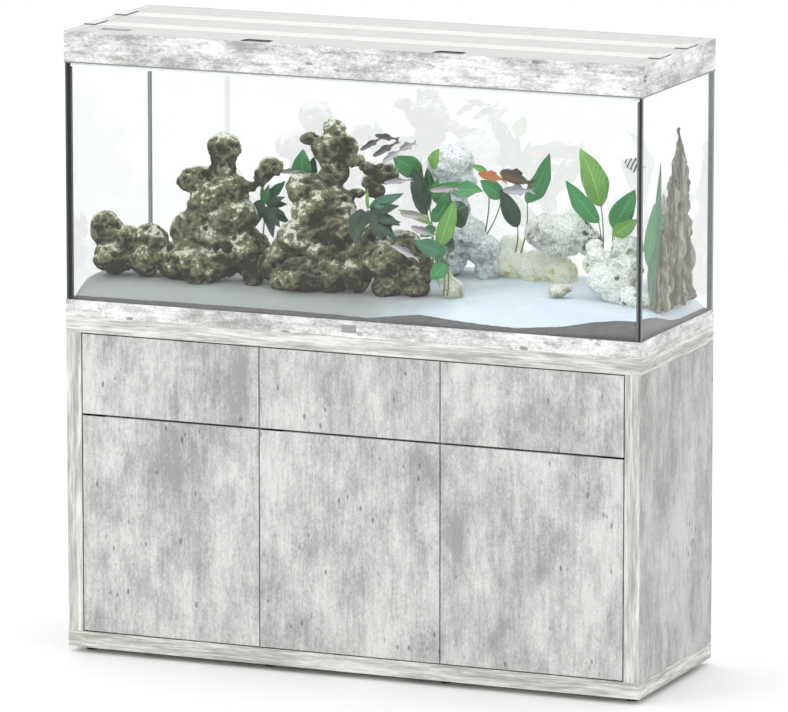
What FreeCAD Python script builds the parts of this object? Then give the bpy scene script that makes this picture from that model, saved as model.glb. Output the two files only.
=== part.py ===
import FreeCAD, Part
import itertools
import math
import os

# Framed glass aquarium with a hinged-flap hood, on a cabinet with three drawers over three doors.
# Millimetres. X runs along the width, -Y faces the front and Z is up.
# The origin is at the middle of the footprint, on the floor.

# Overall footprint
WIDTH = 1500.0
DEPTH = 490.0

# Cabinet boards
FOOT_HEIGHT = 15.0
FOOT_RADIUS = 14.0
FOOT_SIDE_INSET = 38.0
FOOT_INNER_X = 232.0
FOOT_EDGE_INSET = 55.0
BASE_THICKNESS = 40.0
CARCASS_HEIGHT = 745.0
SIDE_THICKNESS = 40.0
TOP_THICKNESS = 40.0
BACK_THICKNESS = 8.0
DIVIDER_THICKNESS = 18.0
CROSS_RAIL_THICKNESS = 16.0
CROSS_RAIL_DEPTH = 60.0
SHELF_THICKNESS = 16.0
SHELF_HEIGHT = 265.0
SHELF_SETBACK = 40.0
SHELF_PIN_RADIUS = 2.5
SHELF_PIN_LENGTH = 20.0
SHELF_PIN_INSET = 40.0
BOARD_EDGE_ROUND = 1.0

# Fronts, inset flush between the side panels
BAY_COUNT = 3
FRONT_THICKNESS = 18.0
FRONT_GAP = 3.0
FRAME_GAP = 3.0
SPLIT_GAP = 5.0
FRONT_CLEARANCE = 1.0
DRAWER_FRONT_HEIGHT = 197.0

# Door pivots: a pin in each end of the door, close to its outer front edge
PIVOT_INSET = 4.0
PIVOT_RADIUS = 1.5
PIVOT_CLEARANCE = 0.1
PIVOT_DEPTH = 8.0
PIVOT_SEAT = 10.0
PIVOT_HOLE_RADIUS = 2.5
PIVOT_PLATE_LENGTH = 60.0
PIVOT_PLATE_THICKNESS = 2.5
PIVOT_PLATE_MARGIN = 1.0
BRACKET_THICKNESS = 2.0
BRACKET_WIDTH = 16.0

# Drawer boxes and their telescopic runners
DRAWER_REAR_CLEARANCE = 64.0
DRAWER_BOX_HEIGHT = 120.0
DRAWER_BOX_LIFT = 30.0
DRAWER_BOARD = 12.0
DRAWER_BOTTOM = 8.0
RUNNER_THICKNESS = 4.0
RUNNER_CLEARANCE = 0.5
RUNNER_SETBACK = 5.0
RUNNER_HEIGHTS = (45.0, 34.0, 24.0)

# Tank
BAND_HEIGHT = 40.0
BAND_THICKNESS = 2.0
FOAM_THICKNESS = 6.0
GLASS_THICKNESS = 10.0
BOTTOM_GLASS_THICKNESS = 12.0
GLASS_VISIBLE_HEIGHT = 582.0
SEAM_LEG = 6.0
BRACE_WIDTH = 50.0
BRACE_THICKNESS = 8.0
BRACE_DROP = 2.0
BADGE_WIDTH = 38.0
BADGE_HEIGHT = 19.0
BADGE_THICKNESS = 1.0
BADGE_LIFT = 10.0

# Hood
HOOD_HEIGHT = 78.0
HOOD_BOARD = 12.0
HOOD_EDGE = 6.0
FLANGE_WIDTH = 30.0
FLANGE_THICKNESS = 12.0
RAIL_WIDTH = 68.0
RAIL_HEIGHT = 22.0
RAIL_WALL = 3.0
REAR_RAIL_Y = 84.0
FRONT_RAIL_Y = -93.0
CAP_LENGTH = 75.0
CAP_HEIGHT = 3.5
CAP_ROUND = 2.0
LIGHT_LENGTH = 1300.0
LIGHT_WIDTH = 50.0
LIGHT_HEIGHT = 12.0
FLAP_THICKNESS = 6.0
FLAP_SIDE_GAP = 1.5
FLAP_END_GAP = 1.5
FLAP_PIN_RADIUS = 1.6
FLAP_PIN_CLEARANCE = 0.1
FLAP_PIN_LENGTH = 24.0
FLAP_LEDGE_WIDTH = 10.0
FLAP_LEDGE_HEIGHT = 8.0
FLAP_LEDGE_SHORT = 10.0
GRIP_X = 250.0
GRIP_WIDTH = 76.0
GRIP_DEPTH = 38.0
GRIP_RECESS = 3.0
GRIP_CORNER = 12.0
FEED_SLOT_X = -640.0
FEED_SLOT_Y = -181.0
FEED_SLOT_WIDTH = 80.0
FEED_SLOT_DEPTH = 34.0
FEED_SLOT_CORNER = 6.0

# Substrate
GRAVEL_DEPTH = 22.0
SAND_FRONT_HEIGHT = 32.0
SAND_LEVEL_HEIGHT = 68.0
SAND_REAR_HEIGHT = 84.0
SAND_FRONT_BANK = 85.0
SAND_REAR_BANK = 90.0
CONTENT_CLEARANCE = 3.0

# Levels and inner faces worked out from the dimensions above
HALF_WIDTH = WIDTH / 2
HALF_DEPTH = DEPTH / 2
FRONT = -HALF_DEPTH
BASE_TOP = FOOT_HEIGHT + BASE_THICKNESS
CARCASS_TOP = BASE_TOP + CARCASS_HEIGHT
TANK_FLOOR = CARCASS_TOP + TOP_THICKNESS
BAND_TOP = TANK_FLOOR + BAND_HEIGHT
GLASS_TOP = BAND_TOP + GLASS_VISIBLE_HEIGHT
HOOD_TOP = GLASS_TOP + HOOD_HEIGHT
SIDE_FACE = HALF_WIDTH - SIDE_THICKNESS
BAY_WIDTH = 2 * SIDE_FACE / BAY_COUNT
FRONT_BACK = FRONT + FRONT_THICKNESS
STRUCTURE_FRONT = FRONT_BACK + FRONT_CLEARANCE
BACK_FACE = HALF_DEPTH - BACK_THICKNESS
DRAWER_FRONT_TOP = CARCASS_TOP - FRAME_GAP
DRAWER_FRONT_BOTTOM = DRAWER_FRONT_TOP - DRAWER_FRONT_HEIGHT
DOOR_BOTTOM = BASE_TOP + FRAME_GAP
DOOR_TOP = DRAWER_FRONT_BOTTOM - SPLIT_GAP
CROSS_RAIL_BOTTOM = DRAWER_FRONT_BOTTOM - FRAME_GAP
CROSS_RAIL_TOP = CROSS_RAIL_BOTTOM + CROSS_RAIL_THICKNESS
DRAWER_BOX_BOTTOM = DRAWER_FRONT_BOTTOM + DRAWER_BOX_LIFT
RUNNER_SPACE = 3 * RUNNER_THICKNESS + 2 * RUNNER_CLEARANCE
GLASS_X = HALF_WIDTH - BAND_THICKNESS
GLASS_Y = HALF_DEPTH - BAND_THICKNESS
INNER_X = GLASS_X - GLASS_THICKNESS
INNER_Y = GLASS_Y - GLASS_THICKNESS
GLASS_BOTTOM = TANK_FLOOR + FOAM_THICKNESS
BED_BOTTOM = GLASS_BOTTOM + BOTTOM_GLASS_THICKNESS
GRAVEL_TOP = BED_BOTTOM + GRAVEL_DEPTH
FLANGE_X = HALF_WIDTH - FLANGE_WIDTH
FLAP_X = FLANGE_X - FLAP_SIDE_GAP
FLAP_BOTTOM = HOOD_TOP - FLAP_THICKNESS
FLAP_AXIS_Z = HOOD_TOP - FLAP_THICKNESS / 2
FLAP_RADIUS = FLAP_THICKNESS / 2

# Rock lumps: centre x, y, z, then half the width and half the height, and half the depth where it
# isn't the mean of those two
LEFT_ROCK = (
    (-690, -135, 1040, 40, 45), (-640, -125, 1020, 35, 30), (-585, -105, 1020, 45, 35),
    (-675, -130, 970, 55, 42), (-595, -115, 972, 40, 45), (-590, -75, 990, 35, 50),
    (-540, -85, 965, 40, 45), (-480, -105, 1045, 50, 50), (-425, -95, 1025, 35, 30),
    (-360, -85, 1025, 45, 35), (-510, -115, 960, 42, 38), (-450, -115, 960, 65, 48),
    (-385, -100, 975, 42, 45), (-345, -90, 985, 38, 50), (-310, -110, 950, 32, 38),
    (-480, -60, 1160, 55, 35), (-405, -70, 1130, 60, 50), (-380, -75, 1080, 60, 50),
    (-455, -75, 1100, 45, 50), (-415, -50, 1240, 45, 42), (-415, -55, 1190, 35, 35),
    (-375, -55, 1160, 25, 20), (-345, -55, 1155, 25, 15), (-310, -55, 1180, 25, 25),
    (-285, -55, 1208, 28, 25), (-325, -70, 1000, 40, 55),
)
CENTER_ROCK = (
    (-190, -120, 1050, 50, 40), (-135, -110, 1020, 40, 30), (-70, -100, 1025, 50, 35),
    (-170, -125, 960, 65, 44), (-100, -115, 965, 45, 45), (-35, -110, 970, 40, 45),
    (-225, -125, 945, 35, 28), (-262, -105, 975, 36, 40), (-180, -75, 1160, 55, 40),
    (-115, -85, 1130, 60, 50), (-95, -90, 1075, 60, 50), (-165, -90, 1100, 45, 50),
    (-120, -60, 1265, 58, 42), (-120, -60, 1312, 30, 25), (-180, -60, 1285, 25, 20),
    (-115, -65, 1205, 40, 38), (-60, -65, 1237, 24, 15), (-25, -65, 1222, 22, 15),
    (-20, -65, 1185, 20, 18), (-60, -65, 1158, 24, 15), (15, -55, 1212, 35, 25),
    (-10, -60, 1165, 25, 20), (40, -110, 1005, 60, 50), (105, -110, 990, 55, 55),
    (45, -125, 945, 38, 32), (-10, -95, 1050, 45, 38), (80, -95, 1050, 40, 30),
    (125, -120, 950, 32, 28), (-30, -90, 1025, 40, 55), (-230, -75, 1010, 45, 45),
)
RIGHT_ROCK = (
    (540, 30, 1010, 45, 38), (575, 10, 975, 60, 40), (610, 20, 1005, 40, 35), (520, 40, 1045, 22, 22),
    (600, 60, 1050, 40, 28), (650, -20, 945, 42, 26), (600, 10, 945, 55, 25),
)
BACK_ROCK = (
    (100, 150, 1210, 60, 48), (135, 150, 1160, 35, 35), (75, 150, 1150, 40, 42), (115, 155, 1090, 38, 45),
    (140, 150, 1040, 55, 45), (185, 150, 1000, 42, 42), (105, 140, 985, 42, 50), (200, 150, 955, 38, 32),
    (255, 175, 970, 48, 42), (250, 180, 1012, 30, 28), (320, 172, 965, 55, 42), (385, 165, 960, 45, 38),
    (362, 125, 1058, 55, 44), (425, 125, 1068, 58, 46), (478, 115, 1045, 34, 36), (442, 128, 1108, 30, 22),
    (395, 150, 1010, 48, 36),
)
UPRIGHT_STONE = ((205, -95, 945, 30, 30), (188, -95, 970, 22, 20))
FLAT_STONE = ((445, -10, 945, 25, 16), (468, -10, 952, 18, 10))
PETRIFIED_WOOD = (
    (704, 8, 1015, 24, 115, 24), (704, 40, 1040, 26, 150, 26), (704, 68, 1070, 24, 185, 22),
    (704, 112, 1110, 22, 225, 22), (704, 140, 1080, 24, 200, 24), (704, 168, 1050, 22, 160, 24),
    (704, 192, 1000, 20, 100, 24), (702, 90, 975, 28, 75, 60),
)

# Leafy plants: foot x, y, z, then the height and the radius at the top of the leaves
PLANTS = (
    (-300, 15, 925, 240, 45), (-225, 25, 925, 320, 30), (40, -125, 1040, 140, 50), (150, -60, 925, 355, 62),
    (285, 120, 1000, 255, 60), (530, 85, 925, 355, 70), (697, -42, 925, 340, 12),
)
PLANT_FOOT_RADIUS = 8.0

# Fish: nose x, y, z and tail x, y, z, then the body height
FISH = (
    ((-45, -70, 1265), (5, -70, 1295), 12), ((-10, -60, 1302), (40, -60, 1297), 13),
    ((-5, -85, 1255), (50, -85, 1288), 14), ((26, -100, 1245), (71, -100, 1275), 14),
    ((50, -50, 1270), (85, -50, 1285), 16), ((30, -100, 1195), (90, -100, 1205), 12),
    ((100, -165, 1135), (155, -165, 1130), 16), ((130, -170, 1105), (180, -170, 1090), 16),
    ((90, -185, 1060), (145, -185, 1035), 16), ((165, -135, 1190), (225, -135, 1198), 14),
    ((210, 60, 1205), (270, 60, 1195), 21), ((275, 40, 1215), (345, 40, 1195), 32),
    ((290, 20, 1175), (355, 20, 1178), 20), ((640, -70, 1282), (676, -70, 1265), 28),
    ((-289, -10, 1188), (-229, -10, 1193), 11),
)
FISH_TAIL_RADIUS = 1.5
FISH_SNOUT_RADIUS = 2.0
FISH_WIDEST = 0.35

# Facets: the corners of an icosahedron stand out a little past the lump they stand for
FACET_SWELL = 1.1
ICOSAHEDRON_EDGE = 2.0
ICOSAHEDRON_CORNERS = 12
TOLERANCE = 1e-3

FLOOR_UP = FreeCAD.Vector(0, 0, 1)
ALONG_X = FreeCAD.Vector(1, 0, 0)


def block(x_span, y_span, z_span):
    """A box between two values on each axis."""
    size = [span[1] - span[0] for span in (x_span, y_span, z_span)]
    return Part.makeBox(*size, FreeCAD.Vector(x_span[0], y_span[0], z_span[0]))


def board(x_span, y_span, z_span):
    """A laminated board with lightly rounded edges."""
    shape = block(x_span, y_span, z_span)
    return shape.makeFillet(BOARD_EDGE_ROUND, shape.Edges)


def rod(radius, length, start, direction):
    """A cylinder from start along direction."""
    return Part.makeCylinder(radius, length, FreeCAD.Vector(*start), direction)


def around(centre, width):
    """The span of the given width about a centre."""
    return (centre - width / 2, centre + width / 2)


def save(node, solids):
    """Writes one node as a STEP file of one or more separate solids."""
    shape = solids[0] if len(solids) == 1 else Part.makeCompound(solids)
    shape.exportStep("parts/" + node + ".step")


def bays():
    """Each bay's name, the span of its front, the span between its walls and its hinge side."""
    result = []
    for index, (name, hinge_side) in enumerate((("left", -1), ("center", -1), ("right", 1))):
        low = -SIDE_FACE + index * BAY_WIDTH
        high = low + BAY_WIDTH
        at_left = index == 0
        at_right = index == BAY_COUNT - 1
        front = (low + (FRAME_GAP if at_left else FRONT_GAP / 2),
                 high - (FRAME_GAP if at_right else FRONT_GAP / 2))
        inside = (low + (0 if at_left else DIVIDER_THICKNESS / 2),
                  high - (0 if at_right else DIVIDER_THICKNESS / 2))
        result.append((name, front, inside, hinge_side))
    return result


def hinge_x(front, hinge_side):
    """The door pivot's place along the width."""
    edge = front[1] if hinge_side > 0 else front[0]
    return edge - hinge_side * PIVOT_INSET


def make_cabinet():
    """The cabinet's fixed boards, feet and shelves."""
    full_x = (-HALF_WIDTH, HALF_WIDTH)
    full_y = (-HALF_DEPTH, HALF_DEPTH)
    tall = (BASE_TOP, CARCASS_TOP)
    base = board(full_x, full_y, (FOOT_HEIGHT, BASE_TOP))
    for name, front, inside, hinge_side in bays():
        foot = (hinge_x(front, hinge_side), FRONT + PIVOT_INSET, BASE_TOP - PIVOT_SEAT)
        base = base.cut(rod(PIVOT_RADIUS, PIVOT_SEAT, foot, FLOOR_UP))
    save("base_panel", [base])
    save("top_panel", [board(full_x, full_y, (CARCASS_TOP, TANK_FLOOR))])
    save("left_side_panel", [board((-HALF_WIDTH, -SIDE_FACE), full_y, tall)])
    save("right_side_panel", [board((SIDE_FACE, HALF_WIDTH), full_y, tall)])
    save("back_panel", [block((-SIDE_FACE, SIDE_FACE), (BACK_FACE, HALF_DEPTH), tall)])
    for name, side in (("left_divider", -1), ("right_divider", 1)):
        middle = side * BAY_WIDTH / 2
        save(name, [block(around(middle, DIVIDER_THICKNESS), (STRUCTURE_FRONT, BACK_FACE), tall)])

    rails = []
    rail_y = (STRUCTURE_FRONT, STRUCTURE_FRONT + CROSS_RAIL_DEPTH)
    for name, front, inside, hinge_side in bays():
        rails.append(block(inside, rail_y, (CROSS_RAIL_BOTTOM, CROSS_RAIL_TOP)))
    save("cross_rails", rails)

    feet = []
    outer_x = HALF_WIDTH - FOOT_SIDE_INSET
    for x in (-outer_x, -FOOT_INNER_X, FOOT_INNER_X, outer_x):
        for y in (-HALF_DEPTH + FOOT_EDGE_INSET, HALF_DEPTH - FOOT_EDGE_INSET):
            feet.append(rod(FOOT_RADIUS, FOOT_HEIGHT, (x, y, 0), FLOOR_UP))
    save("glide_feet", feet)


def make_shelves():
    """One shelf in each outer bay, on four pins."""
    shelf_z = BASE_TOP + SHELF_HEIGHT
    shelf_y = (FRONT_BACK + SHELF_SETBACK, BACK_FACE)
    pins = []
    for name, front, inside, hinge_side in bays():
        if name == "center":
            continue
        save(name + "_shelf", [block(inside, shelf_y, (shelf_z, shelf_z + SHELF_THICKNESS))])
        pin_z = shelf_z - SHELF_PIN_RADIUS
        for y in (shelf_y[0] + SHELF_PIN_INSET, shelf_y[1] - SHELF_PIN_INSET):
            pins.append(rod(SHELF_PIN_RADIUS, SHELF_PIN_LENGTH, (inside[0], y, pin_z), ALONG_X))
            far_x = inside[1] - SHELF_PIN_LENGTH
            pins.append(rod(SHELF_PIN_RADIUS, SHELF_PIN_LENGTH, (far_x, y, pin_z), ALONG_X))
    save("shelf_pins", pins)


def make_doors():
    """Three inset doors on concealed pivot pins, with the pins and their top brackets."""
    pivot_y = FRONT + PIVOT_INSET
    bracket_z = (CROSS_RAIL_BOTTOM - BRACKET_THICKNESS, CROSS_RAIL_BOTTOM)
    bracket_y = (FRONT + PIVOT_PLATE_MARGIN, STRUCTURE_FRONT + CROSS_RAIL_DEPTH)
    pins = []
    brackets = []
    for name, front, inside, hinge_side in bays():
        pivot_x = hinge_x(front, hinge_side)
        door = board(front, (FRONT, FRONT_BACK), (DOOR_BOTTOM, DOOR_TOP))
        hinge_edge = pivot_x + hinge_side * PIVOT_INSET
        plate_end = hinge_edge - hinge_side * PIVOT_PLATE_LENGTH
        plate_start = hinge_edge - hinge_side * PIVOT_PLATE_MARGIN
        plate_x = (min(plate_start, plate_end), max(plate_start, plate_end))
        plate_y = (FRONT + PIVOT_PLATE_MARGIN, FRONT_BACK - PIVOT_PLATE_MARGIN)
        ends = ((DOOR_BOTTOM, DOOR_BOTTOM + PIVOT_PLATE_THICKNESS),
                (DOOR_TOP - PIVOT_PLATE_THICKNESS, DOOR_TOP))
        plates = []
        for plate_z in ends:
            plate = block(plate_x, plate_y, plate_z)
            door = door.cut(plate)
            hole = rod(PIVOT_RADIUS + PIVOT_CLEARANCE, PIVOT_PLATE_THICKNESS,
                       (pivot_x, pivot_y, plate_z[0]), FLOOR_UP)
            plates.append(plate.cut(hole))
        well = PIVOT_DEPTH + PIVOT_HOLE_RADIUS
        for start in (DOOR_BOTTOM, DOOR_TOP - well):
            door = door.cut(rod(PIVOT_HOLE_RADIUS, well, (pivot_x, pivot_y, start), FLOOR_UP))
        save(name + "_door", [door])
        save(name + "_door_pivot_plates", plates)

        low_pin = PIVOT_SEAT + FRAME_GAP + PIVOT_DEPTH
        pins.append(rod(PIVOT_RADIUS, low_pin, (pivot_x, pivot_y, BASE_TOP - PIVOT_SEAT), FLOOR_UP))
        high_start = DOOR_TOP - PIVOT_DEPTH
        high_pin = rod(PIVOT_RADIUS, bracket_z[1] - high_start, (pivot_x, pivot_y, high_start), FLOOR_UP)
        pins.append(high_pin)
        near_wall = inside[1] if hinge_side > 0 else inside[0]
        reach = near_wall - hinge_side * BRACKET_WIDTH
        tongue_x = (min(pivot_x + hinge_side * PIVOT_INSET, reach),
                    max(pivot_x + hinge_side * PIVOT_INSET, reach))
        bracket = block(tongue_x, bracket_y, bracket_z)
        wall = block((near_wall, near_wall + hinge_side * BRACKET_WIDTH)[::hinge_side],
                     (STRUCTURE_FRONT, HALF_DEPTH), bracket_z)
        bracket = bracket.cut(wall).cut(high_pin)
        brackets.append(bracket)
    save("door_pivot_pins", pins)
    save("door_pivot_brackets", brackets)


def make_drawers():
    """Three drawers, each a front, a box of boards and a pair of three-part runners."""
    front_z = (DRAWER_FRONT_BOTTOM, DRAWER_FRONT_TOP)
    box_z = (DRAWER_BOX_BOTTOM, DRAWER_BOX_BOTTOM + DRAWER_BOX_HEIGHT)
    box_y = (FRONT_BACK, BACK_FACE - DRAWER_REAR_CLEARANCE)
    side_y = (box_y[0] + DRAWER_BOARD, box_y[1] - DRAWER_BOARD)
    rail_y = (FRONT_BACK + RUNNER_SETBACK, box_y[1])
    middle_z = sum(box_z) / 2
    pitch = RUNNER_THICKNESS + RUNNER_CLEARANCE
    fixed_rails = []
    for name, front, inside, hinge_side in bays():
        save(name + "_drawer_front", [board(front, (FRONT, FRONT_BACK), front_z)])
        low = inside[0] + RUNNER_SPACE
        high = inside[1] - RUNNER_SPACE
        floor_x = (low + DRAWER_BOARD, high - DRAWER_BOARD)
        boards = [
            block((low, floor_x[0]), side_y, box_z),
            block((floor_x[1], high), side_y, box_z),
            block((low, high), (box_y[0], side_y[0]), box_z),
            block((low, high), (side_y[1], box_y[1]), box_z),
            block(floor_x, side_y, (box_z[0], box_z[0] + DRAWER_BOTTOM)),
        ]
        save(name + "_drawer_box", boards)
        layers = []
        for layer, height in enumerate(RUNNER_HEIGHTS):
            rail_z = around(middle_z, height)
            near = inside[0] + layer * pitch
            far = inside[1] - layer * pitch
            layers.append([block((near, near + RUNNER_THICKNESS), rail_y, rail_z),
                           block((far - RUNNER_THICKNESS, far), rail_y, rail_z)])
        fixed_rails.extend(layers[0])
        save(name + "_runner_middle_rails", layers[1])
        save(name + "_runner_drawer_rails", layers[2])
    save("runner_cabinet_rails", fixed_rails)


def make_tank():
    """The foam mat, panes, braces, seams, base band and badge."""
    outer_x = (-GLASS_X, GLASS_X)
    inner_x = (-INNER_X, INNER_X)
    inner_y = (-INNER_Y, INNER_Y)
    tall = (GLASS_BOTTOM, GLASS_TOP)
    save("foam_mat", [block(outer_x, (-GLASS_Y, GLASS_Y), (TANK_FLOOR, GLASS_BOTTOM))])
    save("bottom_glass", [block(inner_x, inner_y, (GLASS_BOTTOM, BED_BOTTOM))])
    save("front_glass", [block(outer_x, (-GLASS_Y, -INNER_Y), tall)])
    save("back_glass", [block(outer_x, (INNER_Y, GLASS_Y), tall)])
    save("left_glass", [block((-GLASS_X, -INNER_X), inner_y, tall)])
    save("right_glass", [block((INNER_X, GLASS_X), inner_y, tall)])

    brace_top = GLASS_TOP - BRACE_DROP
    brace_z = (brace_top - BRACE_THICKNESS, brace_top)
    save("glass_braces", [
        block(inner_x, (-INNER_Y, -INNER_Y + BRACE_WIDTH), brace_z),
        block(inner_x, (INNER_Y - BRACE_WIDTH, INNER_Y), brace_z),
    ])

    seams = []
    for side_x in (-1, 1):
        for side_y in (-1, 1):
            corner = FreeCAD.Vector(side_x * INNER_X, side_y * INNER_Y, BED_BOTTOM)
            along_pane = corner - ALONG_X * side_x * SEAM_LEG
            across_pane = corner - FreeCAD.Vector(0, side_y * SEAM_LEG, 0)
            outline = Part.makePolygon([corner, along_pane, across_pane, corner])
            height = brace_z[0] - BED_BOTTOM
            seams.append(Part.Face(outline).extrude(FLOOR_UP * height))
    save("silicone_seams", seams)

    badge_z = (TANK_FLOOR + BADGE_LIFT, TANK_FLOOR + BADGE_LIFT + BADGE_HEIGHT)
    badge = block(around(0, BADGE_WIDTH), (FRONT, FRONT + BADGE_THICKNESS), badge_z)
    save("badge", [badge])
    band_z = (TANK_FLOOR, BAND_TOP)
    full_x = (-HALF_WIDTH, HALF_WIDTH)
    save("tank_base_frame", [
        block(full_x, (-HALF_DEPTH, -GLASS_Y), band_z).cut(badge),
        block(full_x, (GLASS_Y, HALF_DEPTH), band_z),
        block((-HALF_WIDTH, -GLASS_X), (-GLASS_Y, GLASS_Y), band_z),
        block((GLASS_X, HALF_WIDTH), (-GLASS_Y, GLASS_Y), band_z),
    ])


def flap_spans():
    """Each flap's name and its reach from the front edge to the hinge axis."""
    half_rail = RAIL_WIDTH / 2
    stop = FLAP_END_GAP + FLAP_RADIUS
    front_limit = FRONT + HOOD_EDGE
    back_limit = HALF_DEPTH - HOOD_EDGE
    return (
        ("front_flap", front_limit + FLAP_END_GAP, FRONT_RAIL_Y - half_rail - stop),
        ("middle_flap", FRONT_RAIL_Y + half_rail + FLAP_END_GAP, REAR_RAIL_Y - half_rail - stop),
        ("rear_flap", REAR_RAIL_Y + half_rail + FLAP_END_GAP, back_limit - stop),
    )


def flap_pins():
    """The pins that each flap turns on, one at either end."""
    pins = []
    for name, front_y, axis_y in flap_spans():
        for start in (-FLAP_X - FLAP_PIN_LENGTH / 2, FLAP_X - FLAP_PIN_LENGTH / 2):
            pins.append(rod(FLAP_PIN_RADIUS, FLAP_PIN_LENGTH, (start, axis_y, FLAP_AXIS_Z), ALONG_X))
    return pins


def make_flaps():
    """Three lift-up flaps with a rounded hinge edge, finger grips and a feeding slot."""
    for name, front_y, axis_y in flap_spans():
        flap = block((-FLAP_X, FLAP_X), (front_y, axis_y), (FLAP_BOTTOM, HOOD_TOP))
        flap = flap.fuse(rod(FLAP_RADIUS, 2 * FLAP_X, (-FLAP_X, axis_y, FLAP_AXIS_Z), ALONG_X))
        flap = flap.removeSplitter()
        bore = FLAP_PIN_RADIUS + FLAP_PIN_CLEARANCE
        reach = FLAP_PIN_LENGTH / 2 + FLAP_SIDE_GAP
        for start in (-FLAP_X, FLAP_X - reach):
            flap = flap.cut(rod(bore, reach, (start, axis_y, FLAP_AXIS_Z), ALONG_X))
        if name == "front_flap":
            flap = flap.cut(Part.makeCompound(front_flap_recesses(front_y)))
        save(name, [flap])


def is_upright(edge):
    """True for a straight edge that runs up."""
    return abs(edge.tangentAt(edge.FirstParameter).z) > 1 - TOLERANCE


def front_flap_recesses(front_y):
    """The two finger grips at the front edge and the feeding slot."""
    cutters = []
    for grip_x in (-GRIP_X, GRIP_X):
        grip = block(around(grip_x, GRIP_WIDTH), (front_y - GRIP_CORNER, front_y + GRIP_DEPTH),
                     (HOOD_TOP - GRIP_RECESS, HOOD_TOP + GRIP_RECESS))
        upright = [edge for edge in grip.Edges if is_upright(edge) and edge.CenterOfMass.y > front_y]
        cutters.append(grip.makeFillet(GRIP_CORNER, upright))
    slot = block(around(FEED_SLOT_X, FEED_SLOT_WIDTH), around(FEED_SLOT_Y, FEED_SLOT_DEPTH),
                 (FLAP_BOTTOM - GRIP_RECESS, HOOD_TOP + GRIP_RECESS))
    upright = [edge for edge in slot.Edges if is_upright(edge)]
    cutters.append(slot.makeFillet(FEED_SLOT_CORNER, upright))
    return cutters


def make_hood():
    """The hood's boards and flanges, the rails, their caps and the light bars."""
    hood_z = (GLASS_TOP, HOOD_TOP)
    full_x = (-HALF_WIDTH, HALF_WIDTH)
    pins = flap_pins()
    side_y = (-HALF_DEPTH + HOOD_BOARD, HALF_DEPTH - HOOD_BOARD)
    rim_y = (-HALF_DEPTH + HOOD_EDGE, HALF_DEPTH - HOOD_EDGE)
    front_board = block(full_x, (-HALF_DEPTH, side_y[0]), hood_z)
    back_board = block(full_x, (side_y[1], HALF_DEPTH), hood_z)
    rebate = block((-FLANGE_X, FLANGE_X), rim_y, (FLAP_BOTTOM, HOOD_TOP))
    back_board = back_board.cut(rebate)
    for pin in pins:
        back_board = back_board.cut(pin)
    frame = [front_board.cut(rebate), back_board]
    rail_ends = [block((-FLANGE_X, FLANGE_X), around(y, RAIL_WIDTH), (HOOD_TOP - RAIL_HEIGHT, HOOD_TOP))
                 for y in (FRONT_RAIL_Y, REAR_RAIL_Y)]
    for side in (-1, 1):
        wall_x = sorted((side * HALF_WIDTH, side * (HALF_WIDTH - HOOD_BOARD)))
        flange_x = sorted((side * HALF_WIDTH, side * FLANGE_X))
        end = block(wall_x, side_y, hood_z)
        end = end.fuse(block(flange_x, side_y, (HOOD_TOP - FLANGE_THICKNESS, HOOD_TOP)))
        end = end.removeSplitter()
        for pin in pins:
            end = end.cut(pin)
        frame.append(end)
    ledge_z = (FLAP_BOTTOM - FLAP_LEDGE_HEIGHT, FLAP_BOTTOM)
    for name, front_y, axis_y in flap_spans():
        ledge_y = (max(front_y, side_y[0]), axis_y - FLAP_LEDGE_SHORT)
        for side in (-1, 1):
            ledge_x = sorted((side * FLANGE_X, side * (FLANGE_X - FLAP_LEDGE_WIDTH)))
            frame.append(block(ledge_x, ledge_y, ledge_z))
    save("hood_frame", frame)
    save("flap_hinge_pins", pins)

    rails = []
    lights = []
    caps = []
    for y, outline in zip((FRONT_RAIL_Y, REAR_RAIL_Y), rail_ends):
        hollow = block((-FLANGE_X, FLANGE_X), around(y, RAIL_WIDTH - 2 * RAIL_WALL),
                       (HOOD_TOP - RAIL_HEIGHT, HOOD_TOP - RAIL_WALL))
        rails.append(outline.cut(hollow))
        light_top = HOOD_TOP - RAIL_WALL
        lights.append(block(around(0, LIGHT_LENGTH), around(y, LIGHT_WIDTH),
                            (light_top - LIGHT_HEIGHT, light_top)))
        for side in (-1, 1):
            cap = block(sorted((side * HALF_WIDTH, side * FLANGE_X)), around(y, CAP_LENGTH),
                        (HOOD_TOP, HOOD_TOP + CAP_HEIGHT))
            top_edges = [edge for edge in cap.Edges
                         if edge.CenterOfMass.z > HOOD_TOP + CAP_HEIGHT - TOLERANCE]
            caps.append(cap.makeFillet(CAP_ROUND, top_edges))
    save("hood_rails", rails)
    save("light_bars", lights)
    save("rail_end_caps", caps)


def lump(x, y, z, half_width, half_height, half_depth=None):
    """A faceted boulder: a stretched icosahedron."""
    half_size = (half_width, half_depth or (half_width + half_height) / 2, half_height)
    golden = (1 + math.sqrt(5)) / 2
    length = math.sqrt(1 + golden * golden)
    corners = []
    for one in (-1, 1):
        for two in (-golden, golden):
            corners.extend([(0, one, two), (one, two, 0), (two, 0, one)])
    points = []
    for corner in corners:
        reach = [size * FACET_SWELL * place / length for size, place in zip(half_size, corner)]
        points.append(FreeCAD.Vector(x + reach[0], y + reach[1], z + reach[2]))
    faces = []
    for trio in itertools.combinations(range(ICOSAHEDRON_CORNERS), 3):
        sides = [math.dist(corners[trio[k]], corners[trio[k - 1]]) for k in range(3)]
        if max(sides) < ICOSAHEDRON_EDGE + TOLERANCE:
            ring = [points[k] for k in trio]
            faces.append(Part.Face(Part.makePolygon(ring + ring[:1])))
    return Part.Solid(Part.Shell(faces))


def boulder(lumps):
    """One rock made of lumps grown together."""
    shapes = [lump(*values) for values in lumps]
    return shapes[0].multiFuse(shapes[1:]).removeSplitter()


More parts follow.
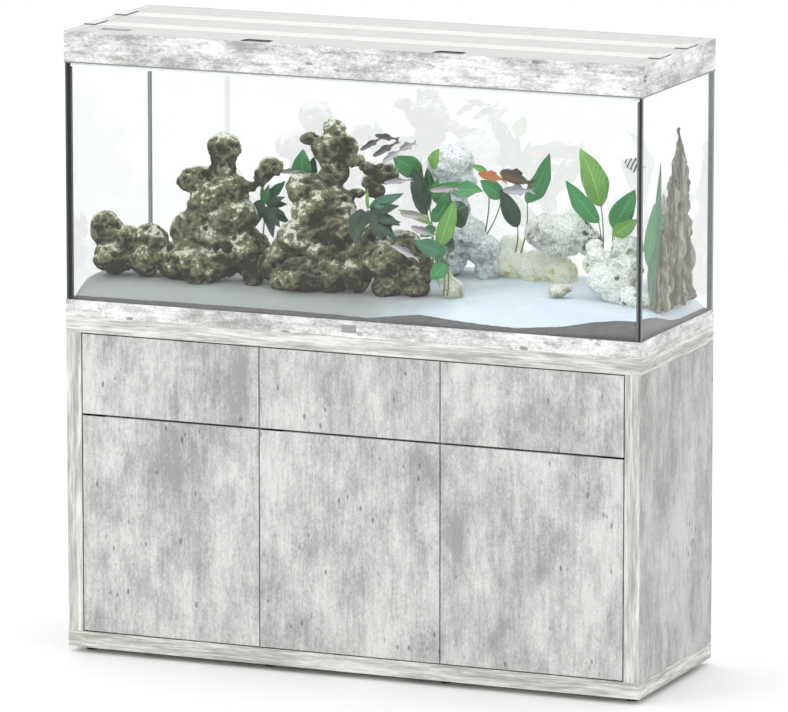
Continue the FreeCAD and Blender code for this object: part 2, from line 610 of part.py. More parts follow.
def sand_block(x_span, y_span):
    """Sand on the gravel: low at the front pane, level in the middle and banked up at the back."""
    heights = (
        (y_span[0], SAND_FRONT_HEIGHT),
        (y_span[0] + SAND_FRONT_BANK, SAND_LEVEL_HEIGHT),
        (y_span[1] - SAND_REAR_BANK, SAND_LEVEL_HEIGHT),
        (y_span[1], SAND_REAR_HEIGHT),
    )
    profile = [FreeCAD.Vector(x_span[0], y, GRAVEL_TOP) for y in reversed(y_span)]
    profile += [FreeCAD.Vector(x_span[0], y, BED_BOTTOM + height) for y, height in heights]
    outline = Part.makePolygon(profile + profile[:1])
    return Part.Face(outline).extrude(ALONG_X * (x_span[1] - x_span[0]))


def fish_body(nose, tail, height):
    """A spindle from nose to tail."""
    start = FreeCAD.Vector(*nose)
    along = FreeCAD.Vector(*tail) - start
    front_length = along.Length * FISH_WIDEST
    widest = start + along * FISH_WIDEST
    head = Part.makeCone(FISH_SNOUT_RADIUS, height / 2, front_length, start, along)
    rear = Part.makeCone(height / 2, FISH_TAIL_RADIUS, along.Length - front_length, widest, along)
    return head.fuse(rear)


def make_contents():
    """Gravel, sand, rocks, petrified wood, plants and fish."""
    margin_x = (-INNER_X + SEAM_LEG, INNER_X - SEAM_LEG)
    margin_y = (-INNER_Y + SEAM_LEG, INNER_Y - SEAM_LEG)
    save("gravel_bed", [block(margin_x, margin_y, (BED_BOTTOM, GRAVEL_TOP))])
    sand = sand_block(margin_x, margin_y)

    water = block((-INNER_X + CONTENT_CLEARANCE, INNER_X - CONTENT_CLEARANCE),
                  (-INNER_Y + CONTENT_CLEARANCE, INNER_Y - CONTENT_CLEARANCE),
                  (GRAVEL_TOP, GLASS_TOP))
    rocks = []
    for node, groups in (("left_rock", (LEFT_ROCK,)), ("center_rock", (CENTER_ROCK,)),
                         ("right_rock", (RIGHT_ROCK,)), ("petrified_wood", (PETRIFIED_WOOD,)),
                         ("loose_rocks", (BACK_ROCK, UPRIGHT_STONE, FLAT_STONE))):
        solids = []
        for lumps in groups:
            rock = boulder(lumps).common(water)
            for neighbour in rocks:
                rock = rock.cut(neighbour)
            solids.extend(rock.Solids)
            rocks.append(rock)
        save(node, solids)
    all_rock = Part.makeCompound(rocks)
    sand = sand.cut(all_rock)
    save("sand_bed", [max(sand.Solids, key=lambda solid: solid.Volume)])

    plants = []
    for x, y, z, height, radius in PLANTS:
        bush = Part.makeCone(PLANT_FOOT_RADIUS, radius, height, FreeCAD.Vector(x, y, z), FLOOR_UP)
        bush = bush.common(water).cut(all_rock).cut(sand)
        for neighbour in plants:
            bush = bush.cut(neighbour)
        plants.append(max(bush.Solids, key=lambda solid: solid.Volume))
    save("plants", plants)
    save("fish", [fish_body(nose, tail, height) for nose, tail, height in FISH])


def main():
    os.makedirs("parts", exist_ok=True)
    make_cabinet()
    make_shelves()
    make_doors()
    make_drawers()
    make_tank()
    make_flaps()
    make_hood()
    make_contents()


main()
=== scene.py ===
import math
import random

import bmesh
import bpy
import numpy as np
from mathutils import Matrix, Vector, noise


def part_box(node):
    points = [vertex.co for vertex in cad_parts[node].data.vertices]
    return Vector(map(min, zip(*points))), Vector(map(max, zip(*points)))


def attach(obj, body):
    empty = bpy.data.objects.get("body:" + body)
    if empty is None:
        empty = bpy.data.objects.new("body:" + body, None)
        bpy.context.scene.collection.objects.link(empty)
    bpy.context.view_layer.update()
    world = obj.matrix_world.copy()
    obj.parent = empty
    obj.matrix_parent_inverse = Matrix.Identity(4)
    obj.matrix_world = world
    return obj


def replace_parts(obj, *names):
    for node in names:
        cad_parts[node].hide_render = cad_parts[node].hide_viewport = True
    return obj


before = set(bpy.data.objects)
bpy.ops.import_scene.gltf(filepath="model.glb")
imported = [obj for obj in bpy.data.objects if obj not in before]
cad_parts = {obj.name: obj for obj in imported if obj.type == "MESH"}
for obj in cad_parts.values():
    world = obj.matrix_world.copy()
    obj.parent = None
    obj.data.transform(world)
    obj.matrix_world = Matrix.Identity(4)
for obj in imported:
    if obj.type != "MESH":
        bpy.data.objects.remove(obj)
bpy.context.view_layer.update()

# Lengths in the lists below are in millimetres; everything else is in metres.
MM = 0.001

# Places taken from the frame
tank_low, tank_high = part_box("gravel_bed")
BED_BOTTOM = tank_low[2]
BED_X = tank_high[0]
BED_Y = tank_high[1]
PANE_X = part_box("right_glass")[0][0]
PANE_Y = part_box("back_glass")[0][1]
PANE_OUT_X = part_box("right_glass")[1][0]
BAND_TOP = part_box("tank_base_frame")[1][2]
GLASS_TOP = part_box("front_glass")[1][2]

# Glow of the lamps in the hood
LAMP_STRENGTH = 4.5
# Index of refraction of the panes; the back and left ones mirror more, so that faint reflections show
GLASS_IOR = 1.52
BACK_PANE_IOR = 2.6
LEFT_PANE_IOR = 2.1


# ---------------------------------------------------------------- node materials

class Paint:
    """A Principled material whose nodes are added one call at a time."""

    def __init__(self, name, roughness=0.5, stretch=(1, 1, 1), seed=0.0):
        self.material = bpy.data.materials.new(name)
        self.material.use_nodes = True
        self.tree = self.material.node_tree
        self.shader = self.tree.nodes["Principled BSDF"]
        self.shader.inputs["Roughness"].default_value = roughness
        self.coordinates = self.tree.nodes.new("ShaderNodeTexCoord")
        self.place = self.mapped(stretch, seed)

    def set(self, socket, value):
        """Links a socket to another, or sets its value."""
        if isinstance(value, bpy.types.NodeSocket):
            self.tree.links.new(value, socket)
        else:
            socket.default_value = value

    def mapped(self, stretch, seed=0.0):
        """Object coordinates, stretched and moved so that pieces differ."""
        node = self.tree.nodes.new("ShaderNodeMapping")
        self.set(node.inputs["Vector"], self.coordinates.outputs["Object"])
        node.inputs["Location"].default_value = (seed, seed * 1.7, seed * 2.3)
        node.inputs["Scale"].default_value = stretch
        return node.outputs["Vector"]

    def noise(self, scale, detail=4.0, rough=0.55, place=None, distortion=0.0):
        """Cloudy noise, 0 to 1."""
        node = self.tree.nodes.new("ShaderNodeTexNoise")
        self.set(node.inputs["Vector"], place or self.place)
        node.inputs["Scale"].default_value = scale
        node.inputs["Detail"].default_value = detail
        node.inputs["Roughness"].default_value = rough
        node.inputs["Distortion"].default_value = distortion
        return node.outputs["Fac"]

    def cells(self, scale, place=None):
        """Distance to the nearest of many scattered points."""
        node = self.tree.nodes.new("ShaderNodeTexVoronoi")
        self.set(node.inputs["Vector"], place or self.place)
        node.inputs["Scale"].default_value = scale
        return node.outputs["Distance"]

    def ramp(self, value, *stops):
        """Maps a value through (position, brightness or colour) stops."""
        node = self.tree.nodes.new("ShaderNodeValToRGB")
        self.set(node.inputs["Fac"], value)
        points = node.color_ramp.elements
        while len(points) < len(stops):
            points.new(1.0)
        for point, (position, colour) in zip(points, stops):
            point.position = position
            point.color = (*colour, 1.0) if isinstance(colour, tuple) else (colour, colour, colour, 1.0)
        return node.outputs["Color"]

    def mix(self, amount, first, second, blend="MIX"):
        """Blends from the first colour to the second."""
        node = self.tree.nodes.new("ShaderNodeMix")
        node.data_type = "RGBA"
        node.blend_type = blend
        self.set(node.inputs[0], amount)
        for socket, value in ((node.inputs[6], first), (node.inputs[7], second)):
            self.set(socket, (*value, 1.0) if isinstance(value, tuple) else value)
        return node.outputs[2]

    def math(self, operation, first, second=0.0):
        """One arithmetic step."""
        node = self.tree.nodes.new("ShaderNodeMath")
        node.operation = operation
        self.set(node.inputs[0], first)
        self.set(node.inputs[1], second)
        return node.outputs[0]

    def blend(self, *parts):
        """The sum of values, each times its weight."""
        scaled = [self.math("MULTIPLY", value, weight) for value, weight in parts]
        total = scaled[0]
        for value in scaled[1:]:
            total = self.math("ADD", total, value)
        return total

    def part_of(self, output, axis):
        """One axis of the object coordinates or of the object normal."""
        node = self.tree.nodes.new("ShaderNodeSeparateXYZ")
        self.set(node.inputs[0], self.coordinates.outputs[output])
        return node.outputs["XYZ".index(axis)]

    def faces(self, axis):
        """1 on faces that look along the axis, 0 on the others."""
        return self.math("GREATER_THAN", self.math("ABSOLUTE", self.part_of("Normal", axis)), 0.5)

    def attribute(self, name):
        """A value stored on the mesh."""
        node = self.tree.nodes.new("ShaderNodeAttribute")
        node.attribute_name = name
        return node.outputs["Fac"]

    def bump(self, height, strength, distance):
        """Fine relief that only the shading shows."""
        node = self.tree.nodes.new("ShaderNodeBump")
        node.inputs["Strength"].default_value = strength
        node.inputs["Distance"].default_value = distance
        self.set(node.inputs["Height"], height)
        self.set(self.shader.inputs["Normal"], node.outputs["Normal"])

    def finish(self, colour, roughness=None):
        """Sets the colour and gloss, and gives the material."""
        self.set(self.shader.inputs["Base Color"], colour)
        if roughness is not None:
            self.set(self.shader.inputs["Roughness"], roughness)
        return self.material


def between(dark, light):
    """The colour halfway between two colours."""
    return tuple((low + high) / 2 for low, high in zip(dark, light))


def concrete_colour(paint, seed, dark, light, grain, size, pit_radius):
    """Mottled concrete print: clouds drawn out along the grain, fine mottling, flecks and dark pits."""
    cloud = paint.noise(7.5 / size, 5.0, 0.62, paint.mapped(grain(0.42), seed))
    patch = paint.noise(21.0 / size, 6.0, 0.75, paint.mapped(grain(0.5), seed + 4.0))
    streak = paint.noise(120.0, 4.0, 0.6, paint.mapped(grain(0.08), seed + 9.0))
    mottle = paint.noise(210.0, 4.0, 0.9, paint.mapped(grain(0.5), seed))
    tone = paint.blend((cloud, 0.33), (patch, 0.25), (streak, 0.14), (mottle, 0.28))
    colour = paint.ramp(tone, (0.435, dark), (0.5, between(dark, light)), (0.565, light))
    fleck = paint.noise(95.0, 5.0, 0.8, paint.mapped(grain(0.4), seed + 15.0))
    fleck = paint.ramp(fleck, (0.61, 0.0), (0.69, 0.62))
    colour = paint.mix(fleck, colour, tuple(0.62 * value for value in dark))
    spot = paint.cells(48.0, paint.mapped(grain(0.42), seed + 21.0))
    pit = paint.ramp(spot, (pit_radius, 1.0), (pit_radius + 0.07, 0.0))
    where = paint.noise(9.0, 3.0, 0.6, paint.mapped((1, 1, 1), seed + 33.0))
    pit = paint.math("MULTIPLY", pit, paint.ramp(where, (0.54, 0.0), (0.6, 1.0)))
    colour = paint.mix(paint.math("MULTIPLY", pit, 0.7), colour, tuple(0.3 * value for value in dark))
    return colour, pit, mottle


def printed_board(paint, colour, pit, mottle, gloss=(0.5, 0.66)):
    """The relief and gloss that every concrete-print board has."""
    paint.bump(paint.mix(pit, mottle, (0.0, 0.0, 0.0)), 0.12, 0.0006)
    return paint.finish(colour, paint.ramp(mottle, (0.3, gloss[0]), (0.7, gloss[1])))


def upright(amount):
    """Stretch for a pattern whose streaks run up the board."""
    return (1, 1, amount)


def lengthwise(amount):
    """Stretch for a pattern whose streaks run level along the board."""
    return (amount, amount, 1)


def grain_colour(paint, seed, stretch, dark, light):
    """Bleached wood grain for board edges, and its finest lines."""
    board = paint.mapped(stretch, seed)
    wave = paint.noise(48.0, 5.0, 0.62, board, 0.3)
    fine = paint.noise(210.0, 4.0, 0.7, board)
    tone = paint.blend((wave, 0.5), (fine, 0.5))
    return paint.ramp(tone, (0.41, dark), (0.5, between(dark, light)), (0.58, light)), fine


FRONT_DARK = (0.33, 0.33, 0.325)
FRONT_LIGHT = (0.69, 0.69, 0.675)
# The side panels' print is the front print made darker: painted shade.
SHADED_SIDE_DARK = (0.295, 0.295, 0.29)
SHADED_SIDE_LIGHT = (0.60, 0.60, 0.59)
HOOD_DARK = (0.36, 0.36, 0.35)
HOOD_LIGHT = (0.92, 0.92, 0.91)
EDGE_DARK = (0.37, 0.375, 0.34)
EDGE_LIGHT = (0.78, 0.79, 0.74)
LOW_EDGE_GREY = (0.24, 0.24, 0.235)
HOOD_TOP_PAINTED_SHADE = (0.54, 0.54, 0.53)
FLAP_GREY = (0.52, 0.52, 0.51)
RAIL_WHITE = (0.66, 0.66, 0.64)


def front_laminate(seed):
    """The concrete print of a door or a drawer front."""
    paint = Paint("front_laminate_%d" % round(seed * 10), 0.55)
    colour, pit, mottle = concrete_colour(paint, seed, FRONT_DARK, FRONT_LIGHT, upright, 1.0, 0.12)
    return printed_board(paint, colour, pit, mottle)


def side_laminate(seed):
    """A side panel: the concrete print on its faces made darker than on the fronts, as painted shade, and
    upright wood grain on its front and back edges.
    """
    paint = Paint("side_laminate_%d" % round(seed * 10), 0.55)
    colour, pit, mottle = concrete_colour(paint, seed, SHADED_SIDE_DARK, SHADED_SIDE_LIGHT, upright, 1.0, 0.12)
    edge = grain_colour(paint, seed, (1, 1, 0.06), EDGE_DARK, EDGE_LIGHT)[0]
    colour = paint.mix(paint.faces("Y"), colour, edge)
    return printed_board(paint, colour, pit, mottle)


def slab_laminate(seed):
    """The base and top boards: level wood grain on every edge."""
    paint = Paint("slab_laminate_%d" % round(seed * 10), 0.55)
    colour, fine = grain_colour(paint, seed, (0.07, 0.07, 1), EDGE_DARK, EDGE_LIGHT)
    paint.bump(fine, 0.1, 0.0005)
    return paint.finish(colour, paint.ramp(fine, (0.3, 0.5), (0.7, 0.64)))


def white_laminate(seed, grey_below):
    """The bright concrete print of the hood and tank band, with a grey line below a height, and painted
    shade in grey on the faces that look up.
    """
    paint = Paint("white_laminate_%d" % round(seed * 10), 0.5)
    colour, pit, mottle = concrete_colour(paint, seed, HOOD_DARK, HOOD_LIGHT, lengthwise, 0.42, 0.2)
    # Below this height the print is painted grey, a line along the bottom edge.
    line = paint.math("LESS_THAN", paint.part_of("Object", "Z"), grey_below)
    colour = paint.mix(line, colour, LOW_EDGE_GREY)
    # Faces that look up are painted grey in place of the print: painted shade.
    top = paint.math("GREATER_THAN", paint.part_of("Normal", "Z"), 0.5)
    colour = paint.mix(top, colour, HOOD_TOP_PAINTED_SHADE)
    return printed_board(paint, colour, pit, mottle, (0.44, 0.6))


def speckled(name, base, roughness, scale, spread, bump, metallic=0.0):
    """A moulded or sheet surface with fine texture in its colour, gloss and relief."""
    paint = Paint(name, roughness)
    grain = paint.noise(scale, 3.0, 0.6)
    cloud = paint.noise(scale * 0.04, 3.0, 0.5)
    low = tuple(value * (1 - spread) for value in base)
    high = tuple(min(1.0, value * (1 + spread)) for value in base)
    colour = paint.mix(paint.ramp(grain, (0.3, 0.0), (0.7, 1.0)), low, high)
    colour = paint.mix(0.5, colour, paint.ramp(cloud, (0.3, 1 - spread), (0.7, 1.0)), "MULTIPLY")
    paint.shader.inputs["Metallic"].default_value = metallic
    paint.bump(grain, bump, 0.0004)
    low_gloss = max(0.05, roughness - 0.08)
    return paint.finish(colour, paint.ramp(cloud, (0.3, low_gloss), (0.7, roughness + 0.08)))


def brushed(name, base, roughness):
    """Rolled steel with fine lines along its length."""
    paint = Paint(name, roughness, stretch=(8, 0.15, 1))
    line = paint.noise(260.0, 3.0, 0.6)
    low = tuple(value * 0.82 for value in base)
    paint.shader.inputs["Metallic"].default_value = 1.0
    paint.bump(line, 0.06, 0.0002)
    gloss = paint.ramp(line, (0.3, roughness), (0.7, roughness + 0.2))
    return paint.finish(paint.mix(line, low, base), gloss)


def within(paint, axis, low, high):
    """1 between two places along an axis, 0 outside."""
    place = paint.part_of("Object", axis)
    over = paint.math("GREATER_THAN", place, low)
    return paint.math("MULTIPLY", over, paint.math("LESS_THAN", place, high))


def front_flap_plastic(base):
    """The front flap: as the others, but with painted shade inside its feeding slot and round its finger
    grips.
    """
    paint = Paint("front_flap_plastic", 0.42)
    grain = paint.noise(650.0, 3.0, 0.6)
    cloud = paint.noise(26.0, 3.0, 0.5)
    low_colour, high_colour = (tuple(shade * value for value in base) for shade in (0.97, 1.03))
    colour = paint.mix(grain, low_colour, high_colour)
    colour = paint.mix(0.5, colour, paint.ramp(cloud, (0.3, 0.97), (0.7, 1.0)), "MULTIPLY")
    low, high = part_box("front_flap")
    rim = 2 * MM
    hinge_strip = 60 * MM
    below_top = paint.math("LESS_THAN", paint.part_of("Object", "Z"), high[2] - 0.4 * MM)
    across = within(paint, "Y", low[1] + rim, high[1] - hinge_strip)
    not_underside = paint.math("GREATER_THAN", paint.part_of("Normal", "Z"), -0.5)
    along = within(paint, "X", low[0] + rim, high[0] - rim)
    recess_painted_shade = paint.math("MULTIPLY", paint.math("MULTIPLY", below_top, across),
                        paint.math("MULTIPLY", not_underside, along))
    # Faces below the top in the slot and grips are painted near black: painted shade.
    colour = paint.mix(recess_painted_shade, colour, (0.09, 0.09, 0.09))
    paint.bump(grain, 0.1, 0.0004)
    return paint.finish(colour, paint.ramp(cloud, (0.3, 0.34), (0.7, 0.5)))


def hood_cap():
    """The end caps: pale on top, with painted shade on every face that doesn't look up, such as the slot
    that faces the front.
    """
    paint = Paint("hood_cap", 0.4)
    grain = paint.noise(700.0, 2.0, 0.5)
    pale = paint.mix(grain, (0.58, 0.58, 0.57), (0.64, 0.64, 0.62))
    up = paint.ramp(paint.part_of("Normal", "Z"), (0.45, 0.0), (0.75, 1.0))
    paint.bump(grain, 0.05, 0.0003)
    # Faces that don't look up are painted near black: painted shade.
    return paint.finish(paint.mix(up, (0.12, 0.12, 0.12), pale))


def pane(name, axis, edge, ior=GLASS_IOR):
    """Clear glass whose large faces look along the axis; the cut edges show green-grey."""
    paint = Paint(name, 0.12)
    tree = paint.tree
    frost = paint.noise(60.0, 3.0, 0.5)
    paint.finish(paint.mix(frost, edge, tuple(value * 1.5 for value in edge)))
    clear = tree.nodes.new("ShaderNodeBsdfTransparent")
    clear.inputs["Color"].default_value = (0.992, 0.997, 0.997, 1.0)
    shine = tree.nodes.new("ShaderNodeBsdfGlossy")
    shine.inputs["Roughness"].default_value = 0.015
    shine.inputs["Color"].default_value = (1.0, 1.0, 1.0, 1.0)
    fresnel = tree.nodes.new("ShaderNodeFresnel")
    fresnel.inputs["IOR"].default_value = ior
    outer = paint.math("SUBTRACT", 1.0, tree.nodes.new("ShaderNodeNewGeometry").outputs["Backfacing"])
    mirror = paint.math("MULTIPLY", fresnel.outputs[0], outer)
    sheet = tree.nodes.new("ShaderNodeMixShader")
    tree.links.new(mirror, sheet.inputs[0])
    tree.links.new(clear.outputs[0], sheet.inputs[1])
    tree.links.new(shine.outputs[0], sheet.inputs[2])
    both = tree.nodes.new("ShaderNodeMixShader")
    tree.links.new(paint.faces(axis), both.inputs[0])
    tree.links.new(paint.shader.outputs[0], both.inputs[1])
    tree.links.new(sheet.outputs[0], both.inputs[2])
    tree.links.new(both.outputs[0], tree.nodes["Material Output"].inputs["Surface"])
    return paint.material


def give(node, material):
    """Puts one material on a CAD node."""
    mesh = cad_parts[node].data
    mesh.materials.clear()
    mesh.materials.append(material)


def paint_cad():
    """Materials for every CAD node that stays in view."""
    for number, bay in enumerate(("left", "center", "right")):
        give(bay + "_drawer_front", front_laminate(1.3 + 2.9 * number))
        give(bay + "_door", front_laminate(12.1 + 3.7 * number))
    give("left_side_panel", side_laminate(31.0))
    give("right_side_panel", side_laminate(35.2))
    give("base_panel", slab_laminate(41.0))
    give("top_panel", slab_laminate(44.0))
    give("hood_frame", white_laminate(51.0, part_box("hood_frame")[0][2] + 0.0035))
    give("tank_base_frame", white_laminate(56.4, 0.0))

    board = speckled("inner_board", (0.80, 0.80, 0.785), 0.5, 420.0, 0.05, 0.08)
    for node in ("back_panel", "left_divider", "right_divider", "cross_rails", "left_shelf", "right_shelf",
                 "left_drawer_box", "center_drawer_box", "right_drawer_box"):
        give(node, board)
    steel = brushed("zinc_steel", (0.62, 0.63, 0.64), 0.28)
    blacked = brushed("blacked_steel", (0.05, 0.05, 0.052), 0.4)
    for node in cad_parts:
        if "runner" in node or node in ("shelf_pins", "flap_hinge_pins"):
            give(node, steel)
        elif "pivot" in node:
            give(node, blacked)
    give("glide_feet", speckled("foot_plastic", (0.012, 0.012, 0.013), 0.5, 500.0, 0.3, 0.2))
    give("foam_mat", speckled("foam", (0.05, 0.05, 0.05), 0.9, 900.0, 0.4, 0.5))
    give("badge", speckled("badge_metal", (0.36, 0.36, 0.36), 0.35, 800.0, 0.12, 0.1, 0.8))
    flap = speckled("flap_plastic", FLAP_GREY, 0.42, 650.0, 0.03, 0.1)
    for node in ("middle_flap", "rear_flap"):
        give(node, flap)
    give("front_flap", front_flap_plastic(FLAP_GREY))
    give("hood_rails", speckled("rail_plastic", RAIL_WHITE, 0.35, 650.0, 0.03, 0.08))
    give("rail_end_caps", hood_cap())
    lamp = speckled("lamp_diffuser", (0.93, 0.93, 0.91), 0.3, 300.0, 0.02, 0.05)
    glow = lamp.node_tree.nodes["Principled BSDF"].inputs
    glow["Emission Color"].default_value = (0.94, 0.98, 1.0, 1.0)
    glow["Emission Strength"].default_value = LAMP_STRENGTH
    give("light_bars", lamp)
    give("front_glass", pane("front_pane", "Y", (0.10, 0.13, 0.125)))
    give("back_glass", pane("back_pane", "Y", (0.14, 0.20, 0.21), BACK_PANE_IOR))
    give("left_glass", pane("left_pane", "X", (0.05, 0.07, 0.065), LEFT_PANE_IOR))
    give("right_glass", pane("right_pane", "X", (0.05, 0.07, 0.065)))
    give("bottom_glass", pane("bottom_pane", "Z", (0.10, 0.13, 0.125)))
    give("glass_braces", pane("brace_glass", "Z", (0.88, 0.91, 0.91)))


# ---------------------------------------------------------------- mesh helpers

def add(name, mesh, material, body="cabinet", smooth=True):
    """A finished mesh becomes a piece that rides on a body."""
    piece = bpy.data.objects.new(name, mesh)
    bpy.context.scene.collection.objects.link(piece)
    mesh.materials.clear()
    mesh.materials.append(material)
    if smooth:
        mesh.polygons.foreach_set("use_smooth", [True] * len(mesh.polygons))
    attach(piece, body)
    return piece


def from_bmesh(name, shape):
    """The built shape as a mesh with its faces turned outwards."""
    mesh = bpy.data.meshes.new(name)
    bmesh.ops.recalc_face_normals(shape, faces=shape.faces)
    shape.to_mesh(mesh)
    shape.free()
    return mesh


def with_modifiers(mesh, *settings):
    """A copy of the mesh with modifiers applied: each is a kind and its settings."""
    holder = bpy.data.objects.new("holder", mesh)
    bpy.context.scene.collection.objects.link(holder)
    for kind, values in settings:
        modifier = holder.modifiers.new(kind, kind)
        for key, value in values.items():
            setattr(modifier, key, value)
    graph = bpy.context.evaluated_depsgraph_get()
    graph.update()
    result = bpy.data.meshes.new_from_object(holder.evaluated_get(graph), depsgraph=graph)
    bpy.data.objects.remove(holder)
    return result


def grid_solid(name, columns, rows, place, floor):
    """A closed block whose top follows place(u, v) and whose underside follows floor(x, y)."""
    shape = bmesh.new()
    top = []
    under = []
    for row in range(rows):
        for column in range(columns):
            x, y, z = place(column / (columns - 1), row / (rows - 1))
            top.append(shape.verts.new((x, y, z)))
            under.append(shape.verts.new((x, y, min(floor(x, y), z - 0.0005))))
    for row in range(rows - 1):
        for column in range(columns - 1):
            corner = row * columns + column
            ring = (corner, corner + 1, corner + columns + 1, corner + columns)
            shape.faces.new([top[index] for index in ring])
            shape.faces.new([under[index] for index in reversed(ring)])
    border = [column for column in range(columns)]
    border += [row * columns + columns - 1 for row in range(1, rows)]
    border += [(rows - 1) * columns + column for column in range(columns - 2, -1, -1)]
    border += [row * columns for row in range(rows - 2, 0, -1)]
    for one, two in zip(border, border[1:] + border[:1]):
        shape.faces.new((top[one], under[one], under[two], top[two]))
    return from_bmesh(name, shape)


def loft(shape, loops):
    """A closed skin through rings of vertices, with a cap at each end."""
    shape.faces.new(list(reversed(loops[0])))
    shape.faces.new(loops[-1])
    for low, high in zip(loops, loops[1:]):
        for one in range(len(low)):
            two = (one + 1) % len(low)
            shape.faces.new((low[one], low[two], high[two], high[one]))


def turns(count):
    """Equal steps round a circle."""
    return [2 * math.pi * step / count for step in range(count)]


# ---------------------------------------------------------------- sand and gravel

# Height of the gravel against the front pane (x, z) and the right pane (y, z), in millimetres
FRONT_LINE = ((-740, 887), (-500, 889), (-135, 890), (48, 886), (110, 896), (178, 904), (230, 899),
              (330, 892), (423, 889), (538, 900), (620, 917), (683, 925), (740, 927))
RIGHT_LINE = ((-230, 927), (-150, 921), (-100, 915), (0, 892), (59, 886), (230, 885))
SAND_LEVEL = 928 * MM
SAND_BANK = 14 * MM
GRAVEL_LEVEL = 882 * MM
PANE_BLEND = 45 * MM
PANE_FALLOFF = 1.3
LEFT_DIP = 6 * MM
BANK_START = 50 * MM
BANK_LENGTH = 120 * MM
CALM_EDGE = 60 * MM
DUNE_HEIGHT = 7 * MM
RIPPLE_HEIGHT = 1.2 * MM
STONE_HEIGHT = 1.2 * MM
BED_COLUMNS = 240
BED_ROWS = 80


def line_height(line, value):
    """The height of a pane line at a place along it."""
    places, heights = zip(*line)
    return float(np.interp(value / MM, places, heights)) * MM


def bed_height(x, y, inner):
    """Height of a bed that meets the pane lines at the glass and levels out to inner away from it."""
    to_front = math.exp(-((y + BED_Y) / PANE_BLEND) ** PANE_FALLOFF)
    to_right = math.exp(-((BED_X - x) / PANE_BLEND) ** PANE_FALLOFF)
    to_left = math.exp(-((x + BED_X) / PANE_BLEND) ** PANE_FALLOFF)
    height = inner
    height += (line_height(RIGHT_LINE, y) - inner) * to_right
    height += (inner - LEFT_DIP - height) * to_left * (1 - to_front)
    height += (line_height(FRONT_LINE, x) - height) * to_front
    return height


def sand_top(x, y):
    """The sand's surface with soft dunes and a fine ripple, banked up at the back."""
    bank = SAND_BANK * min(1.0, max(0.0, (y - BANK_START) / BANK_LENGTH)) ** 2
    away = min(1.0, (y + BED_Y) / CALM_EDGE) * min(1.0, (BED_X - x) / CALM_EDGE)
    dune = noise.noise(Vector((x * 4.2, y * 6.0, 3.0))) * DUNE_HEIGHT
    ripple = noise.noise(Vector((x * 38.0, y * 30.0, 9.0))) * RIPPLE_HEIGHT
    return bed_height(x, y, SAND_LEVEL + bank) + (dune + ripple) * away


def gravel_top(x, y):
    """The gravel's surface, with stones that show at its edge."""
    stones = noise.noise(Vector((x * 90.0, y * 90.0, 1.0))) * STONE_HEIGHT
    return bed_height(x, y, GRAVEL_LEVEL) + stones


def make_beds():
    """The dark gravel and the white sand on it."""
    paint = Paint("gravel", 0.8)
    stones = paint.cells(420.0)
    cloud = paint.noise(9.0, 4.0, 0.6)
    # Each stone is painted darker towards its edge: painted shade round and between the stones.
    colour = paint.mix(paint.ramp(stones, (0.1, 0.0), (0.8, 1.0)), (0.26, 0.26, 0.265), (0.135, 0.135, 0.14))
    colour = paint.mix(0.5, colour, paint.ramp(cloud, (0.3, 0.7), (0.7, 1.15)), "MULTIPLY")
    paint.bump(stones, 0.6, 0.002)
    dark = paint.finish(colour)

    def surface(height):
        return lambda u, v: (BED_X * (2 * u - 1), BED_Y * (2 * v - 1),
                             height(BED_X * (2 * u - 1), BED_Y * (2 * v - 1)))

    gravel = grid_solid("gravel", BED_COLUMNS, BED_ROWS, surface(gravel_top),
                        lambda x, y: BED_BOTTOM + 0.2 * MM)
    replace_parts(add("gravel", gravel, dark), "gravel_bed")

    paint = Paint("sand", 0.85)
    grain = paint.noise(1500.0, 2.0, 0.7)
    patch = paint.noise(7.0, 4.0, 0.5)
    # The sand is painted grey towards the left, as painted shade from the rocks, and bluish white towards
    # the right.
    side = paint.math("ADD", paint.part_of("Object", "X"), paint.math("MULTIPLY", patch, 0.3))
    colour = paint.ramp(side, (0.14, (0.42, 0.455, 0.435)), (0.46, (0.76, 0.87, 0.97)))
    colour = paint.mix(0.5, colour, paint.ramp(patch, (0.35, 0.86), (0.65, 1.06)), "MULTIPLY")
    colour = paint.mix(0.6, colour, paint.ramp(grain, (0.3, 0.8), (0.6, 1.08)), "MULTIPLY")
    paint.bump(grain, 0.35, 0.0008)
    pale = paint.finish(colour)
    sand = grid_solid("sand", BED_COLUMNS, BED_ROWS, surface(sand_top), gravel_top)
    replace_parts(add("sand", sand, pale), "sand_bed")


# ---------------------------------------------------------------- rocks

# Lumps of each rock: centre x, y, z, half width and half height
LEFT_ROCK = (
    (-690, -135, 1040, 40, 45), (-640, -125, 1020, 35, 30), (-585, -105, 1020, 45, 35),
    (-675, -130, 970, 55, 42), (-595, -115, 972, 40, 45), (-590, -75, 990, 35, 50),
    (-540, -85, 965, 40, 45), (-480, -105, 1045, 50, 50), (-425, -95, 1025, 35, 30),
    (-360, -85, 1025, 45, 35), (-510, -115, 960, 42, 38), (-450, -115, 960, 65, 48),
    (-385, -100, 975, 42, 45), (-345, -90, 985, 38, 50), (-310, -110, 950, 32, 38),
    (-480, -60, 1160, 55, 35), (-405, -70, 1130, 60, 50), (-380, -75, 1080, 60, 50),
    (-455, -75, 1100, 45, 50), (-415, -50, 1240, 45, 42), (-415, -55, 1190, 35, 35),
    (-375, -55, 1160, 25, 20), (-345, -55, 1155, 25, 15), (-310, -55, 1180, 25, 25),
    (-285, -55, 1208, 28, 25), (-325, -70, 1000, 40, 55),
)
